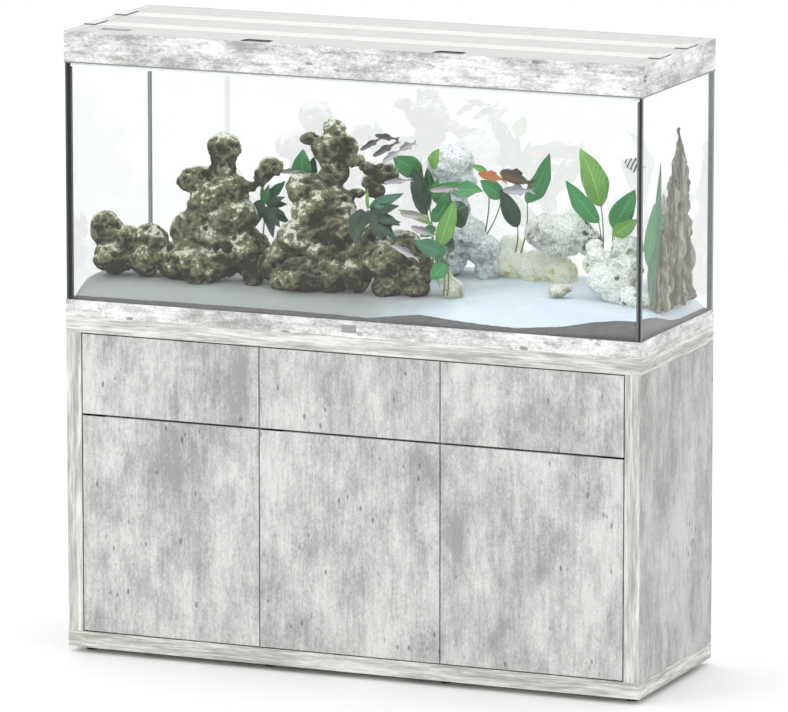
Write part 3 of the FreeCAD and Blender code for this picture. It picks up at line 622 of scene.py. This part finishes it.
CENTER_ROCK = (
    (-190, -120, 1050, 50, 40), (-135, -110, 1020, 40, 30), (-70, -100, 1025, 50, 35),
    (-170, -125, 960, 65, 44), (-100, -115, 965, 45, 45), (-35, -110, 970, 40, 45),
    (-225, -125, 945, 35, 28), (-262, -105, 975, 36, 40), (-180, -75, 1160, 55, 40),
    (-115, -85, 1130, 60, 50), (-95, -90, 1075, 60, 50), (-165, -90, 1100, 45, 50),
    (-120, -60, 1265, 58, 42), (-120, -60, 1312, 30, 25), (-180, -60, 1285, 25, 20),
    (-115, -65, 1205, 40, 38), (-60, -65, 1237, 24, 15), (-25, -65, 1222, 22, 15),
    (-20, -65, 1185, 20, 18), (-60, -65, 1158, 24, 15), (15, -55, 1212, 35, 25),
    (-10, -60, 1165, 25, 20), (40, -110, 1005, 60, 50), (105, -110, 990, 55, 55),
    (45, -125, 945, 38, 32), (-10, -95, 1050, 45, 38), (80, -95, 1050, 40, 30),
    (125, -120, 950, 32, 28), (-30, -90, 1025, 40, 55), (-230, -75, 1010, 45, 45),
)
RIGHT_ROCK = (
    (540, 30, 1010, 45, 38), (575, 10, 975, 60, 40), (610, 20, 1005, 40, 35), (520, 40, 1045, 22, 22),
    (600, 60, 1050, 40, 28), (650, -20, 945, 42, 26), (600, 10, 945, 55, 25),
)
PILLAR_ROCK = (
    (100, 150, 1210, 60, 48), (135, 150, 1160, 35, 35), (75, 150, 1150, 40, 42), (115, 155, 1090, 38, 45),
    (140, 150, 1040, 55, 45), (185, 150, 1000, 42, 42), (105, 140, 985, 42, 50), (200, 150, 955, 38, 32),
)
FLAT_ROCK = (
    (255, 175, 970, 48, 42), (250, 180, 1012, 30, 28), (320, 172, 965, 55, 42), (385, 165, 960, 45, 38),
    (390, 165, 935, 45, 25), (320, 175, 935, 55, 25),
)
BOULDER_ROCK = (
    (362, 125, 1058, 55, 44), (425, 125, 1068, 58, 46), (478, 115, 1045, 34, 36), (442, 128, 1108, 30, 22),
    (395, 130, 1030, 48, 30),
)
# Least distance from a rock to the panes, and from its foot to the top of the band
ROCK_TO_PANE = 2 * MM
ROCK_TO_BAND = 4 * MM
UPRIGHT_STONE = ((205, -95, 945, 30, 30), (188, -95, 970, 22, 20))
FLAT_STONE = ((445, -10, 945, 25, 16), (468, -10, 952, 18, 10))


def lump_depth(half_width, half_height):
    """A lump is as deep as the mean of its half width and half height."""
    return (half_width + half_height) / 2


def grown_together(name, lumps, voxel):
    """One closed skin round all the lumps."""
    shape = bmesh.new()
    for x, y, z, half_width, half_height in lumps:
        ball = bmesh.ops.create_icosphere(shape, subdivisions=3, radius=MM)["verts"]
        size = (half_width, lump_depth(half_width, half_height), half_height)
        bmesh.ops.scale(shape, verts=ball, vec=size)
        bmesh.ops.translate(shape, verts=ball, vec=(x * MM, y * MM, z * MM))
    mesh = from_bmesh(name, shape)
    return with_modifiers(mesh, ("REMESH", {"mode": "VOXEL", "voxel_size": voxel}),
                          ("SMOOTH", {"factor": 0.6, "iterations": 4}))


def positions(mesh, normals=False):
    """Vertex positions, or vertex normals, as rows."""
    values = np.empty(len(mesh.vertices) * 3)
    mesh.vertices.foreach_get("normal" if normals else "co", values)
    return values.reshape(-1, 3)


def store(mesh, name, values):
    """Keeps one value for each vertex, for the material to read."""
    mesh.attributes.new(name, "FLOAT", "POINT").data.foreach_set("value", values)


def erode(mesh, seed, pits, pit_size, rough):
    """Knobbly relief and random holes pushed into the skin. The holes' depth is kept for the painted shade
    in their colour.
    """
    dice = np.random.default_rng(seed)
    place = positions(mesh)
    normal = positions(mesh, True)
    shift = Vector((7, 3, seed))
    relief = np.array([
        noise.fractal(Vector(p) * 15.0 + shift, 1.0, 2.1, 2) * 0.6
        + (0.45 - abs(noise.fractal(Vector(p) * 34.0 + shift, 0.9, 2.1, 4))) * 0.75
        for p in place
    ])
    hollow = np.zeros(len(place))
    centres = place[dice.integers(0, len(place), pits)]
    sizes = pit_size * np.exp(dice.normal(-0.4, 0.65, pits))
    sizes *= [1.0 if noise.noise(Vector(p) * 8.0 + shift) > -0.02 else 0.35 for p in centres]
    for centre, size in zip(centres, sizes):
        distance = np.linalg.norm(place - centre, axis=1) / size
        hollow = np.maximum(hollow, size * np.clip(1 - distance ** 2.4, 0, 1))
    moved = place + normal * ((relief - 0.2) * rough - hollow * 1.05)[:, None]
    mesh.vertices.foreach_set("co", moved.ravel())
    store(mesh, "hollow", np.clip(hollow / pit_size, 0, 1.5))
    store(mesh, "crevice", np.clip(0.5 - relief, 0, 1))
    mesh.update()


def keep_inside(mesh):
    """Keeps a rock off the panes and above the gravel."""
    place = positions(mesh)
    limit_x = PANE_X - ROCK_TO_PANE
    limit_y = PANE_Y - ROCK_TO_PANE
    place[:, 0] = np.clip(place[:, 0], -limit_x, limit_x)
    place[:, 1] = np.clip(place[:, 1], -limit_y, limit_y)
    place[:, 2] = np.maximum(place[:, 2], BAND_TOP + ROCK_TO_BAND)
    mesh.vertices.foreach_set("co", place.ravel())
    mesh.update()


def rock_material(name, under, side, top, hole, seed, lift=0.0, specks=0.85):
    """Reef rock: olive and pale tones at random, with painted shade on lower faces, in crevices and in
    holes, and a painted highlight on upper faces; lift makes more of it pale.
    """
    paint = Paint(name, 0.9, seed=seed)
    patch = paint.noise(8.0, 5.0, 0.65, distortion=0.5)
    crust = paint.noise(75.0, 7.0, 0.85)
    speck = paint.noise(230.0, 4.0, 0.75)
    # Lower faces darker and upper faces paler: painted shade and painted highlight; crevices darker: painted
    # shade.
    tone = paint.blend((paint.part_of("Normal", "Z"), 0.17), (crust, 1.0), (patch, 0.85),
                       (paint.attribute("crevice"), -0.4))
    dull = between(under, side)
    colour = paint.ramp(tone, (0.68 - lift, under), (0.80 - lift, dull),
                        (0.95 - lift, side), (1.14 - lift, top))
    spots = paint.ramp(speck, (0.32, 0.42), (0.5, 0.95), (0.66, 1.4))
    colour = paint.mix(specks, colour, spots, "MULTIPLY")
    # Holes are painted near black: painted shade.
    depth = paint.ramp(paint.attribute("hollow"), (0.1, 0.0), (0.8, 1.0))
    colour = paint.mix(paint.math("MULTIPLY", depth, 0.85), colour, hole)
    paint.bump(paint.mix(0.5, crust, speck), 0.8, 0.007)
    return paint.finish(colour)


def make_rock(name, node, lumps, material, seed, voxel=0.0038, pits=150, pit_size=0.009, rough=0.014):
    """One rock: lumps grown together, weathered, and kept clear of the tank."""
    mesh = grown_together(name, lumps, voxel)
    erode(mesh, seed, pits, pit_size, rough)
    keep_inside(mesh)
    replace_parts(add(name, mesh, material), node)


def make_rocks():
    """All rocks, in the places of their CAD solids."""
    # Each rock's colours run under, side, top: random tone, with painted shade at the dark end and painted
    # highlight at the pale end; the last colour is painted shade in the holes.
    olive = rock_material("olive_reef", (0.026, 0.024, 0.009), (0.24, 0.25, 0.125), (0.78, 0.81, 0.66),
                          (0.020, 0.018, 0.010), 2.0)
    white = rock_material("white_reef", (0.42, 0.46, 0.34), (0.80, 0.88, 0.77), (0.96, 1.0, 0.96),
                          (0.13, 0.12, 0.08), 5.0, 0.24)
    bluish = rock_material("bluish_reef", (0.44, 0.51, 0.49), (0.76, 0.85, 0.84), (0.93, 0.98, 0.98),
                           (0.22, 0.25, 0.25), 8.0, 0.18)
    cream = rock_material("cream_reef", (0.62, 0.56, 0.26), (0.94, 0.93, 0.66), (0.96, 0.97, 0.88),
                          (0.30, 0.24, 0.10), 11.0, 0.24, 0.4)
    beige = rock_material("beige_stone", (0.38, 0.36, 0.25), (0.68, 0.67, 0.54), (0.90, 0.90, 0.82),
                          (0.16, 0.14, 0.10), 14.0, 0.12, 0.5)
    make_rock("left_reef", "left_rock", LEFT_ROCK, olive, 11, pits=300, pit_size=0.007)
    make_rock("center_reef", "center_rock", CENTER_ROCK, olive, 23, pits=340, pit_size=0.007)
    make_rock("pillar_reef", "loose_rocks", PILLAR_ROCK, bluish, 31, pits=120, pit_size=0.006)
    make_rock("flat_reef", "loose_rocks", FLAT_ROCK, cream, 37, pits=16, pit_size=0.004, rough=0.008)
    make_rock("boulder_reef", "loose_rocks", BOULDER_ROCK, white, 41, 0.0032, 420, 0.0035)
    make_rock("upright_stone", "loose_rocks", UPRIGHT_STONE, beige, 43, 0.003, 8, 0.005, 0.006)
    make_rock("flat_stone", "loose_rocks", FLAT_STONE, beige, 47, 0.003, 8, 0.004, 0.006)
    make_rock("right_reef", "right_rock", RIGHT_ROCK, white, 53, voxel=0.0035, pits=160, pit_size=0.0045)
    make_wood()


# Columns of the petrified wood: foot y, top y, top z, half width; all stand near one x at one height
WOOD_X = 703
WOOD_FOOT = 915
WOOD_FLATNESS = 0.72
WOOD_COLUMNS = (
    (2, 20, 1120, 26), (20, 36, 1195, 22), (38, 50, 1150, 26), (55, 74, 1255, 20),
    (78, 88, 1225, 26), (100, 116, 1345, 19), (124, 134, 1300, 21), (145, 150, 1175, 27),
    (150, 156, 1290, 17), (166, 168, 1235, 20), (186, 186, 1110, 22), (70, 72, 1060, 32),
    (140, 140, 1040, 32), (12, 16, 1010, 30), (112, 114, 1120, 30),
)


def make_wood():
    """Petrified wood: upright splintered columns grown together, tapering to points."""
    dice = random.Random(61)
    shape = bmesh.new()
    rings = 9
    sides = 7
    limit_x = PANE_X - 3 * MM
    limit_y = PANE_Y - 3 * MM
    for foot_y, top_y, top_z, half_width in WOOD_COLUMNS:
        lean = dice.uniform(-8, 4)
        loops = []
        for ring in range(rings):
            along = ring / (rings - 1)
            width = half_width * (1 - along ** 3.5 * 0.9) * dice.uniform(0.86, 1.12)
            centre_y = foot_y + (top_y - foot_y) * along
            z = WOOD_FOOT + (top_z - WOOD_FOOT) * along
            loop = []
            for turn in turns(sides):
                reach = width * dice.uniform(0.88, 1.12)
                x = WOOD_X + lean * along + WOOD_FLATNESS * reach * math.cos(turn)
                y = centre_y + reach * math.sin(turn)
                loop.append(shape.verts.new((min(x * MM, limit_x), min(y * MM, limit_y), z * MM)))
            loops.append(loop)
        loft(shape, loops)
    mesh = with_modifiers(from_bmesh("petrified_wood", shape),
                          ("REMESH", {"mode": "VOXEL", "voxel_size": 0.0038}),
                          ("SMOOTH", {"factor": 0.5, "iterations": 2}))
    place = positions(mesh)
    normal = positions(mesh, True)
    groove = np.array([
        noise.fractal(Vector((p[0] * 95, p[1] * 95, p[2] * 16)), 0.8, 2.1, 4) for p in place
    ])
    mesh.vertices.foreach_set("co", (place + normal * (groove * 0.013 - 0.001)[:, None]).ravel())
    store(mesh, "hollow", np.clip(0.25 - groove, 0, 1))
    keep_inside(mesh)
    paint = Paint("petrified_layers", 0.85, stretch=(1, 1, 0.12))
    layer = paint.noise(48.0, 6.0, 0.65, distortion=0.6)
    patch = paint.noise(9.0, 3.0, 0.5, paint.mapped((1, 1, 1), 5.0))
    colour = paint.ramp(layer, (0.40, (0.03, 0.026, 0.014)), (0.5, (0.15, 0.145, 0.085)),
                        (0.62, (0.46, 0.46, 0.33)))
    colour = paint.mix(paint.ramp(patch, (0.52, 0.0), (0.68, 0.5)), colour, (0.66, 0.67, 0.56))
    # Grooves are painted near black: painted shade.
    depth = paint.ramp(paint.attribute("hollow"), (0.2, 0.0), (0.7, 0.9))
    colour = paint.mix(depth, colour, (0.035, 0.03, 0.018))
    paint.bump(layer, 0.8, 0.005)
    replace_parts(add("petrified_spires", mesh, paint.finish(colour)), "petrified_wood")


# ---------------------------------------------------------------- plants

# Leaves by tone: foot, tip and width at the middle
LEAVES = {
    "dark": (
        ((120, -60, 1130), (95, -72, 1235), 42), ((125, -45, 1150), (125, -57, 1230), 32),
        ((135, -80, 1120), (100, -92, 1165), 22), ((170, -90, 1080), (215, -102, 1045), 32),
        ((15, -140, 1125), (75, -152, 1100), 25), ((20, -150, 1125), (55, -165, 1065), 25),
        ((15, -140, 1130), (-20, -155, 1088), 28), ((40, -160, 1115), (105, -174, 1115), 17),
        ((35, -165, 1105), (100, -180, 1075), 17), ((-315, -30, 1105), (-350, -45, 1062), 27),
        ((-305, -40, 1110), (-250, -55, 1135), 20), ((-305, -45, 1105), (-248, -60, 1095), 17),
        ((-295, -50, 1095), (-258, -68, 1062), 20), ((-335, 0, 1115), (-345, -75, 1035), 35),
        ((-325, 0, 1105), (-250, -40, 1115), 22), ((-320, 0, 1095), (-240, -50, 1070), 26),
        ((-330, 0, 1100), (-275, -70, 1035), 28), ((-215, 20, 1170), (-205, 20, 1225), 30),
        ((-20, -120, 1130), (-15, -175, 1055), 42), ((0, -120, 1125), (90, -150, 1150), 28),
        ((10, -120, 1120), (100, -165, 1105), 28), ((15, -120, 1115), (90, -175, 1070), 30),
        ((90, -40, 1135), (100, -40, 1240), 32), ((210, -90, 1100), (250, -100, 1150), 40),
        ((280, 140, 1065), (245, 115, 1162), 42),
    ),
    "green": (
        ((145, -50, 1145), (155, -62, 1210), 27), ((175, -55, 1120), (180, -67, 1190), 22),
        ((165, -100, 1095), (130, -112, 1072), 27), ((195, -120, 1055), (178, -134, 1022), 27),
        ((145, -75, 1105), (188, -87, 1152), 32), ((-325, -20, 1105), (-303, -32, 1158), 20),
        ((697, 10, 1050), (702, 30, 1175), 24), ((-325, 0, 1115), (-265, -20, 1168), 26),
        ((-235, 10, 1165), (-228, 5, 1245), 48), ((100, -40, 1215), (45, -80, 1255), 52),
        ((120, -50, 1165), (215, -75, 1205), 34), ((190, -50, 1180), (272, -65, 1185), 42),
        ((120, -50, 1120), (125, -55, 1228), 28), ((165, -70, 1115), (185, -85, 1188), 32),
        ((210, -140, 1015), (178, -165, 980), 42), ((305, 140, 1125), (368, 125, 1255), 50),
        ((240, 140, 1135), (192, 115, 1178), 42), ((515, 80, 1100), (440, 55, 1203), 46),
        ((555, 70, 1090), (618, 55, 1192), 54), ((690, -50, 1030), (700, -30, 1178), 26),
    ),
    "lime": (
        ((-335, 0, 1110), (-330, -5, 1162), 10), ((-5, -115, 1130), (-5, -120, 1182), 10),
        ((180, -115, 1050), (228, -130, 1172), 42), ((160, -115, 1105), (88, -150, 1140), 20),
        ((200, 140, 1195), (163, 135, 1212), 16), ((520, 80, 1140), (468, 75, 1280), 64),
        ((560, 60, 1075), (632, 35, 1125), 38), ((130, -35, 1225), (150, -45, 1278), 34),
    ),
    "teal": (
        ((195, -70, 1150), (245, -85, 1138), 27), ((20, -135, 1140), (92, -150, 1177), 20),
        ((695, -30, 930), (700, -20, 1110), 20), ((0, -120, 1135), (100, -145, 1180), 28),
        ((195, -140, 1040), (142, -180, 1070), 44), ((150, -60, 1120), (222, -75, 1152), 38),
        ((692, -20, 950), (700, 10, 1268), 19),
    ),
}
STEMS = (
    ((-335, 0, 1015), (-335, 0, 1112)), ((-225, 10, 1060), (-230, 10, 1170)),
    ((-10, -110, 1010), (-5, -118, 1135)), ((135, -50, 960), (100, -40, 1225)),
    ((135, -50, 960), (120, -50, 1125)), ((150, -60, 960), (210, -90, 1100)),
    ((140, -60, 960), (165, -70, 1120)), ((190, -110, 940), (180, -115, 1050)),
    ((285, 150, 1000), (305, 140, 1128)), ((270, 150, 1000), (280, 140, 1068)),
    ((190, 145, 1030), (240, 140, 1138)), ((505, 95, 935), (520, 80, 1145)),
    ((520, 85, 935), (555, 70, 1092)), ((535, 85, 935), (562, 60, 1078)),
    ((510, 95, 935), (515, 80, 1102)), ((695, -25, 925), (692, -20, 955)),
    ((695, -45, 925), (690, -50, 1035)),
    ((190, 145, 1030), (200, 140, 1198)), ((195, -125, 935), (197, -138, 1042)),
    ((205, -125, 935), (210, -138, 1017)),
)
LEAF_TONES = {
    "dark": ((0.006, 0.030, 0.014), (0.020, 0.075, 0.034)),
    "green": ((0.020, 0.17, 0.045), (0.055, 0.30, 0.085)),
    "lime": ((0.09, 0.27, 0.045), (0.21, 0.44, 0.09)),
    "teal": ((0.022, 0.12, 0.060), (0.065, 0.24, 0.125)),
}
# The way most leaves face
CAMERA_SIDE = Vector((0.38, -0.92, 0.18))
LEAF_THICKNESS = 0.7 * MM
LEAF_FULLNESS = 0.58
LEAF_WAVE = 0.05
LEAF_CUP = 0.26


def leaf_material(tone):
    """A waxy leaf with a pale midrib and side veins, read from its own length and width values."""
    low, high = LEAF_TONES[tone]
    paint = Paint("leaf_" + tone, 0.32)
    across = paint.attribute("across")
    along = paint.attribute("along")
    patch = paint.noise(22.0, 4.0, 0.6)
    colour = paint.mix(patch, low, high)
    slant = paint.math("SUBTRACT", along, paint.math("MULTIPLY", across, 0.28))
    vein = paint.math("ABSOLUTE", paint.math("SINE", paint.math("MULTIPLY", slant, 30.0)))
    colour = paint.mix(paint.ramp(vein, (0.0, 0.4), (0.45, 0.0)), colour, tuple(1.7 * v for v in high))
    colour = paint.mix(paint.ramp(across, (0.02, 0.6), (0.07, 0.0)), colour, tuple(1.8 * v for v in high))
    paint.bump(vein, 0.35, 0.0012)
    return paint.finish(colour)


def leaf(shape, layers, foot, tip, width, dice):
    """One broad pointed leaf, cupped along its midrib, with a wavy edge."""
    foot = Vector(foot) * MM
    tip = Vector(tip) * MM
    length = (tip - foot).length
    forward = (tip - foot).normalized()
    face = (CAMERA_SIDE + Vector((dice.uniform(-0.5, 0.5), 0, dice.uniform(-0.2, 0.5)))).normalized()
    side = forward.cross(face).normalized()
    up = side.cross(forward).normalized()
    rows = 17
    columns = 9
    bend = dice.uniform(-0.05, 0.12) * length
    phase = dice.uniform(0, 6)
    points = []
    for row in range(rows):
        along = row / (rows - 1)
        outline = math.sin(math.pi * along ** 0.85) ** 0.8 * (1 - 0.25 * along)
        half = max(0.6 * MM, width * MM * LEAF_FULLNESS * outline)
        spine = foot + forward * length * along + up * bend * math.sin(math.pi * along)
        for column in range(columns):
            across = 2 * column / (columns - 1) - 1
            wave = LEAF_WAVE * width * MM * math.sin(along * 17 + phase) * abs(across) ** 2
            cup = LEAF_CUP * half * across * across
            vertex = shape.verts.new(spine + side * half * across + up * (cup + wave))
            vertex[layers[0]] = abs(across)
            vertex[layers[1]] = along
            points.append(vertex)
    for row in range(rows - 1):
        for column in range(columns - 1):
            corner = row * columns + column
            shape.faces.new((points[corner], points[corner + 1],
                             points[corner + columns + 1], points[corner + columns]))


def stem(shape, foot, tip, radius=1.6):
    """A stem that bows a little between its foot and its leaf."""
    foot = Vector(foot) * MM
    tip = Vector(tip) * MM
    forward = (tip - foot).normalized()
    side = forward.cross(CAMERA_SIDE).normalized()
    up = side.cross(forward)
    sides = 8
    rings = 9
    loops = []
    for ring in range(rings):
        along = ring / (rings - 1)
        centre = foot.lerp(tip, along) + side * 0.05 * (tip - foot).length * math.sin(math.pi * along)
        size = radius * MM * (1.25 - 0.5 * along)
        loop = [shape.verts.new(centre + side * size * math.cos(turn) + up * size * math.sin(turn))
                for turn in turns(sides)]
        loops.append(loop)
    loft(shape, loops)


def make_plants():
    """Leaves in four greens and their stems."""
    dice = random.Random(71)
    for tone, leaves in LEAVES.items():
        shape = bmesh.new()
        layers = (shape.verts.layers.float.new("across"), shape.verts.layers.float.new("along"))
        for foot, tip, width in leaves:
            leaf(shape, layers, foot, tip, width, dice)
        mesh = bpy.data.meshes.new("leaves_" + tone)
        shape.to_mesh(mesh)
        shape.free()
        mesh = with_modifiers(mesh, ("SOLIDIFY", {"thickness": LEAF_THICKNESS, "offset": 0.0}))
        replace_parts(add("leaves_" + tone, mesh, leaf_material(tone)), "plants")
    shape = bmesh.new()
    for foot, tip in STEMS:
        stem(shape, foot, tip)
    paint = Paint("stem_green", 0.5, stretch=(1, 1, 0.2))
    line = paint.noise(160.0, 3.0, 0.6)
    paint.bump(line, 0.2, 0.0004)
    material = paint.finish(paint.mix(line, (0.06, 0.14, 0.03), (0.20, 0.28, 0.10)))
    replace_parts(add("plant_stems", from_bmesh("plant_stems", shape), material), "plants")


# ---------------------------------------------------------------- fish

# Nose, tail root, body height and kind
FISH = (
    ((-45, -70, 1265), (5, -70, 1295), 12, "dark"), ((-10, -60, 1302), (40, -60, 1297), 13, "dark"),
    ((-5, -85, 1255), (50, -85, 1288), 14, "dark"), ((26, -100, 1245), (71, -100, 1275), 14, "grey"),
    ((50, -50, 1270), (85, -50, 1285), 16, "grey"), ((30, -100, 1195), (90, -100, 1205), 12, "grey"),
    ((100, -165, 1135), (155, -165, 1130), 16, "rose"), ((130, -170, 1105), (180, -170, 1090), 16, "rose"),
    ((90, -185, 1060), (145, -185, 1035), 16, "grey"), ((165, -135, 1190), (225, -135, 1198), 14, "rose"),
    ((210, 60, 1205), (270, 60, 1195), 21, "orange"), ((275, 40, 1215), (345, 40, 1195), 32, "brown"),
    ((290, 20, 1175), (355, 20, 1178), 20, "grey"), ((640, -70, 1282), (676, -70, 1265), 28, "striped"),
    ((-289, -10, 1188), (-229, -10, 1193), 11, "grey"),
)
FISH_SLIMNESS = 0.42
HALF_FIN = 0.35 * MM
FISH_COLOURS = {
    "dark": ((0.02, 0.018, 0.02), (0.16, 0.14, 0.15)),
    "grey": ((0.22, 0.22, 0.25), (0.62, 0.61, 0.64)),
    "rose": ((0.24, 0.20, 0.22), (0.58, 0.50, 0.53)),
    "orange": ((0.48, 0.13, 0.035), (0.74, 0.30, 0.12)),
    "brown": ((0.025, 0.018, 0.012), (0.20, 0.13, 0.05)),
    "striped": ((0.02, 0.02, 0.025), (0.72, 0.72, 0.74)),
}


def fish_material(kind):
    """Scaly skin, darker along the back; the striped kind has upright bars."""
    low, high = FISH_COLOURS[kind]
    paint = Paint("fish_" + kind, 0.3)
    scale = paint.cells(420.0)
    back = paint.attribute("back")
    colour = paint.mix(paint.ramp(back, (0.35, 0.0), (0.75, 1.0)), high, low)
    if kind == "striped":
        bars = paint.math("SINE", paint.math("MULTIPLY", paint.attribute("along"), 26.0))
        colour = paint.mix(paint.ramp(bars, (0.45, 0.0), (0.6, 1.0)), high, low)
    colour = paint.mix(0.6, colour, paint.ramp(scale, (0.1, 1.1), (0.7, 0.7)), "MULTIPLY")
    paint.bump(scale, 0.25, 0.0006)
    return paint.finish(colour)


def fish(shape, layers, nose_at, tail_at, height):
    """A streamlined body with a forked tail, a back fin and a belly fin."""
    back_layer, along_layer = layers
    nose_at = Vector(nose_at) * MM
    tail_at = Vector(tail_at) * MM
    forward = (tail_at - nose_at).normalized()
    side = forward.cross(Vector((0, 0, 1))).normalized()
    up = side.cross(forward).normalized()
    length = (tail_at - nose_at).length
    half = height * MM / 2

    def point(along, rise, out):
        vertex = shape.verts.new(nose_at + forward * length * along + up * rise + side * out)
        vertex[back_layer] = 0.5 + 0.5 * rise / half
        vertex[along_layer] = along
        return vertex

    rings = 15
    sides = 14
    loops = []
    for ring in range(rings):
        along = ring / (rings - 1)
        girth = max(0.06, math.sin(math.pi * (0.04 + 0.9 * along ** 0.75)) ** 0.75)
        radius = half * girth
        loops.append([point(along, radius * math.sin(turn), FISH_SLIMNESS * radius * math.cos(turn))
                      for turn in turns(sides)])
    loft(shape, loops)
    fins = (
        ((0.95, 0.12), (1.3, 0.95), (1.17, 0.0), (1.3, -0.95), (0.95, -0.12)),
        ((0.35, 0.86), (0.52, 1.5), (0.78, 1.05), (0.72, 0.55)),
        ((0.55, -0.8), (0.7, -1.35), (0.82, -0.9), (0.78, -0.5)),
    )
    for outline in fins:
        near = [point(along, half * rise, HALF_FIN) for along, rise in outline]
        far = [point(along, half * rise, -HALF_FIN) for along, rise in outline]
        shape.faces.new(near)
        shape.faces.new(list(reversed(far)))
        for one in range(len(near)):
            two = (one + 1) % len(near)
            shape.faces.new((near[one], far[one], far[two], near[two]))


def make_fish():
    """One piece for each kind of fish."""
    for kind in FISH_COLOURS:
        shape = bmesh.new()
        layers = (shape.verts.layers.float.new("back"), shape.verts.layers.float.new("along"))
        for nose_at, tail_at, height, own_kind in FISH:
            if own_kind == kind:
                fish(shape, layers, nose_at, tail_at, height)
        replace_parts(add("fish_" + kind, from_bmesh("fish_" + kind, shape), fish_material(kind)), "fish")


# ---------------------------------------------------------------- tank seams

# Width of the silicone beads in the front and back corners
FRONT_BEAD = 5 * MM
BACK_BEAD = 1.8 * MM


def make_seams():
    """Silicone: concave beads, darkest at the front left and slate behind, and the front joints."""
    paint = Paint("silicone", 0.35)
    smear = paint.noise(90.0, 3.0, 0.5, paint.mapped((1, 1, 0.1)))
    paint.bump(smear, 0.15, 0.0005)
    front = paint.mix(smear, (0.040, 0.048, 0.046), (0.095, 0.105, 0.102))
    back = paint.mix(smear, (0.16, 0.20, 0.25), (0.24, 0.29, 0.34))
    right = paint.mix(smear, (0.105, 0.112, 0.110), (0.19, 0.20, 0.198))
    beyond = paint.math("GREATER_THAN", paint.part_of("Object", "X"), 0.0)
    behind = paint.math("GREATER_THAN", paint.part_of("Object", "Y"), 0.0)
    colour = paint.mix(behind, paint.mix(beyond, front, right), back)
    material = paint.finish(colour, paint.ramp(smear, (0.3, 0.28), (0.7, 0.42)))
    low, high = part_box("silicone_seams")
    skin = 0.6 * MM
    arc_steps = 5
    shape = bmesh.new()
    for side_x in (-1, 1):
        for side_y, leg in ((-1, FRONT_BEAD), (1, BACK_BEAD)):
            corner_x = side_x * PANE_X
            corner_y = side_y * PANE_Y
            outline = [(corner_x, corner_y), (corner_x - side_x * leg, corner_y)]
            for step in range(1, arc_steps):
                turn = math.pi / 2 * step / arc_steps
                outline.append((corner_x - side_x * leg * (1 - math.sin(turn)),
                                corner_y - side_y * leg * (1 - math.cos(turn))))
            outline.append((corner_x, corner_y - side_y * leg))
            prism(shape, outline, low[2], high[2])
        joint = [(side_x * PANE_X, -PANE_Y), (side_x * PANE_OUT_X, -PANE_Y),
                 (side_x * PANE_OUT_X, skin - PANE_Y), (side_x * PANE_X, skin - PANE_Y)]
        prism(shape, joint, BAND_TOP, GLASS_TOP)
    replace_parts(add("silicone_joints", from_bmesh("silicone_joints", shape), material, smooth=False),
                "silicone_seams")


def prism(shape, outline, low_z, high_z):
    """An upright block with the outline as its section."""
    floor = [shape.verts.new((x, y, low_z)) for x, y in outline]
    roof = [shape.verts.new((x, y, high_z)) for x, y in outline]
    shape.faces.new(floor)
    shape.faces.new(list(reversed(roof)))
    for one in range(len(outline)):
        two = (one + 1) % len(outline)
        shape.faces.new((floor[one], roof[one], roof[two], floor[two]))


# ---------------------------------------------------------------- studio

CAMERA_PLACE = (7.0377, -16.6355, 4.1479)
CAMERA_TARGET = (0.014, 0.0, 0.7522)
CAMERA_LENS = 345.6
ROOM_BRIGHTNESS = 1.08
KEY_POWER = 45
TOP_POWER = 20
FLOOR_HALF = 60.0


def make_camera():
    """A long lens, a little to the right of the front and a little above."""
    data = bpy.data.cameras.new("camera")
    data.sensor_width = 36.0
    data.lens = CAMERA_LENS
    data.clip_start = 1.0
    data.clip_end = 200.0
    camera = bpy.data.objects.new("camera", data)
    camera.location = CAMERA_PLACE
    target = Vector(CAMERA_TARGET)
    camera.rotation_euler = (target - camera.location).to_track_quat("-Z", "Y").to_euler()
    bpy.context.scene.collection.objects.link(camera)
    bpy.context.scene.camera = camera


def area_light(name, place, target, size, power):
    """A rectangular soft light aimed at a target."""
    data = bpy.data.lights.new(name, "AREA")
    data.shape = "RECTANGLE"
    data.size, data.size_y = size
    data.energy = power
    light = bpy.data.objects.new(name, data)
    light.location = place
    light.rotation_euler = (Vector(target) - light.location).to_track_quat("-Z", "Y").to_euler()
    bpy.context.scene.collection.objects.link(light)


def make_studio():
    """A white floor and room, with a broad key from the front left and a soft light from above."""
    scene = bpy.context.scene
    scene.view_settings.view_transform = "Standard"
    world = bpy.data.worlds.new("studio")
    world.use_nodes = True
    background = world.node_tree.nodes["Background"]
    background.inputs["Color"].default_value = (1.0, 1.0, 1.0, 1.0)
    background.inputs["Strength"].default_value = ROOM_BRIGHTNESS
    scene.world = world
    area_light("key", (-2.6, -4.2, 4.2), (0, 0, 0.9), (3.0, 2.2), KEY_POWER)
    area_light("top", (0.0, 0.4, 4.0), (0, 0, 1.0), (3.0, 2.0), TOP_POWER)

    shape = bmesh.new()
    bmesh.ops.create_grid(shape, x_segments=4, y_segments=4, size=FLOOR_HALF)
    mesh = from_bmesh("floor", shape)
    floor = bpy.data.objects.new("floor", mesh)
    scene.collection.objects.link(floor)
    paint = Paint("floor_paint", 0.7)
    cloud = paint.noise(0.8, 2.0, 0.5)
    mesh.materials.append(paint.finish(paint.mix(cloud, (0.93, 0.93, 0.93), (0.96, 0.96, 0.96))))


make_camera()
make_studio()
paint_cad()
make_seams()
make_beds()
make_rocks()
make_plants()
make_fish()
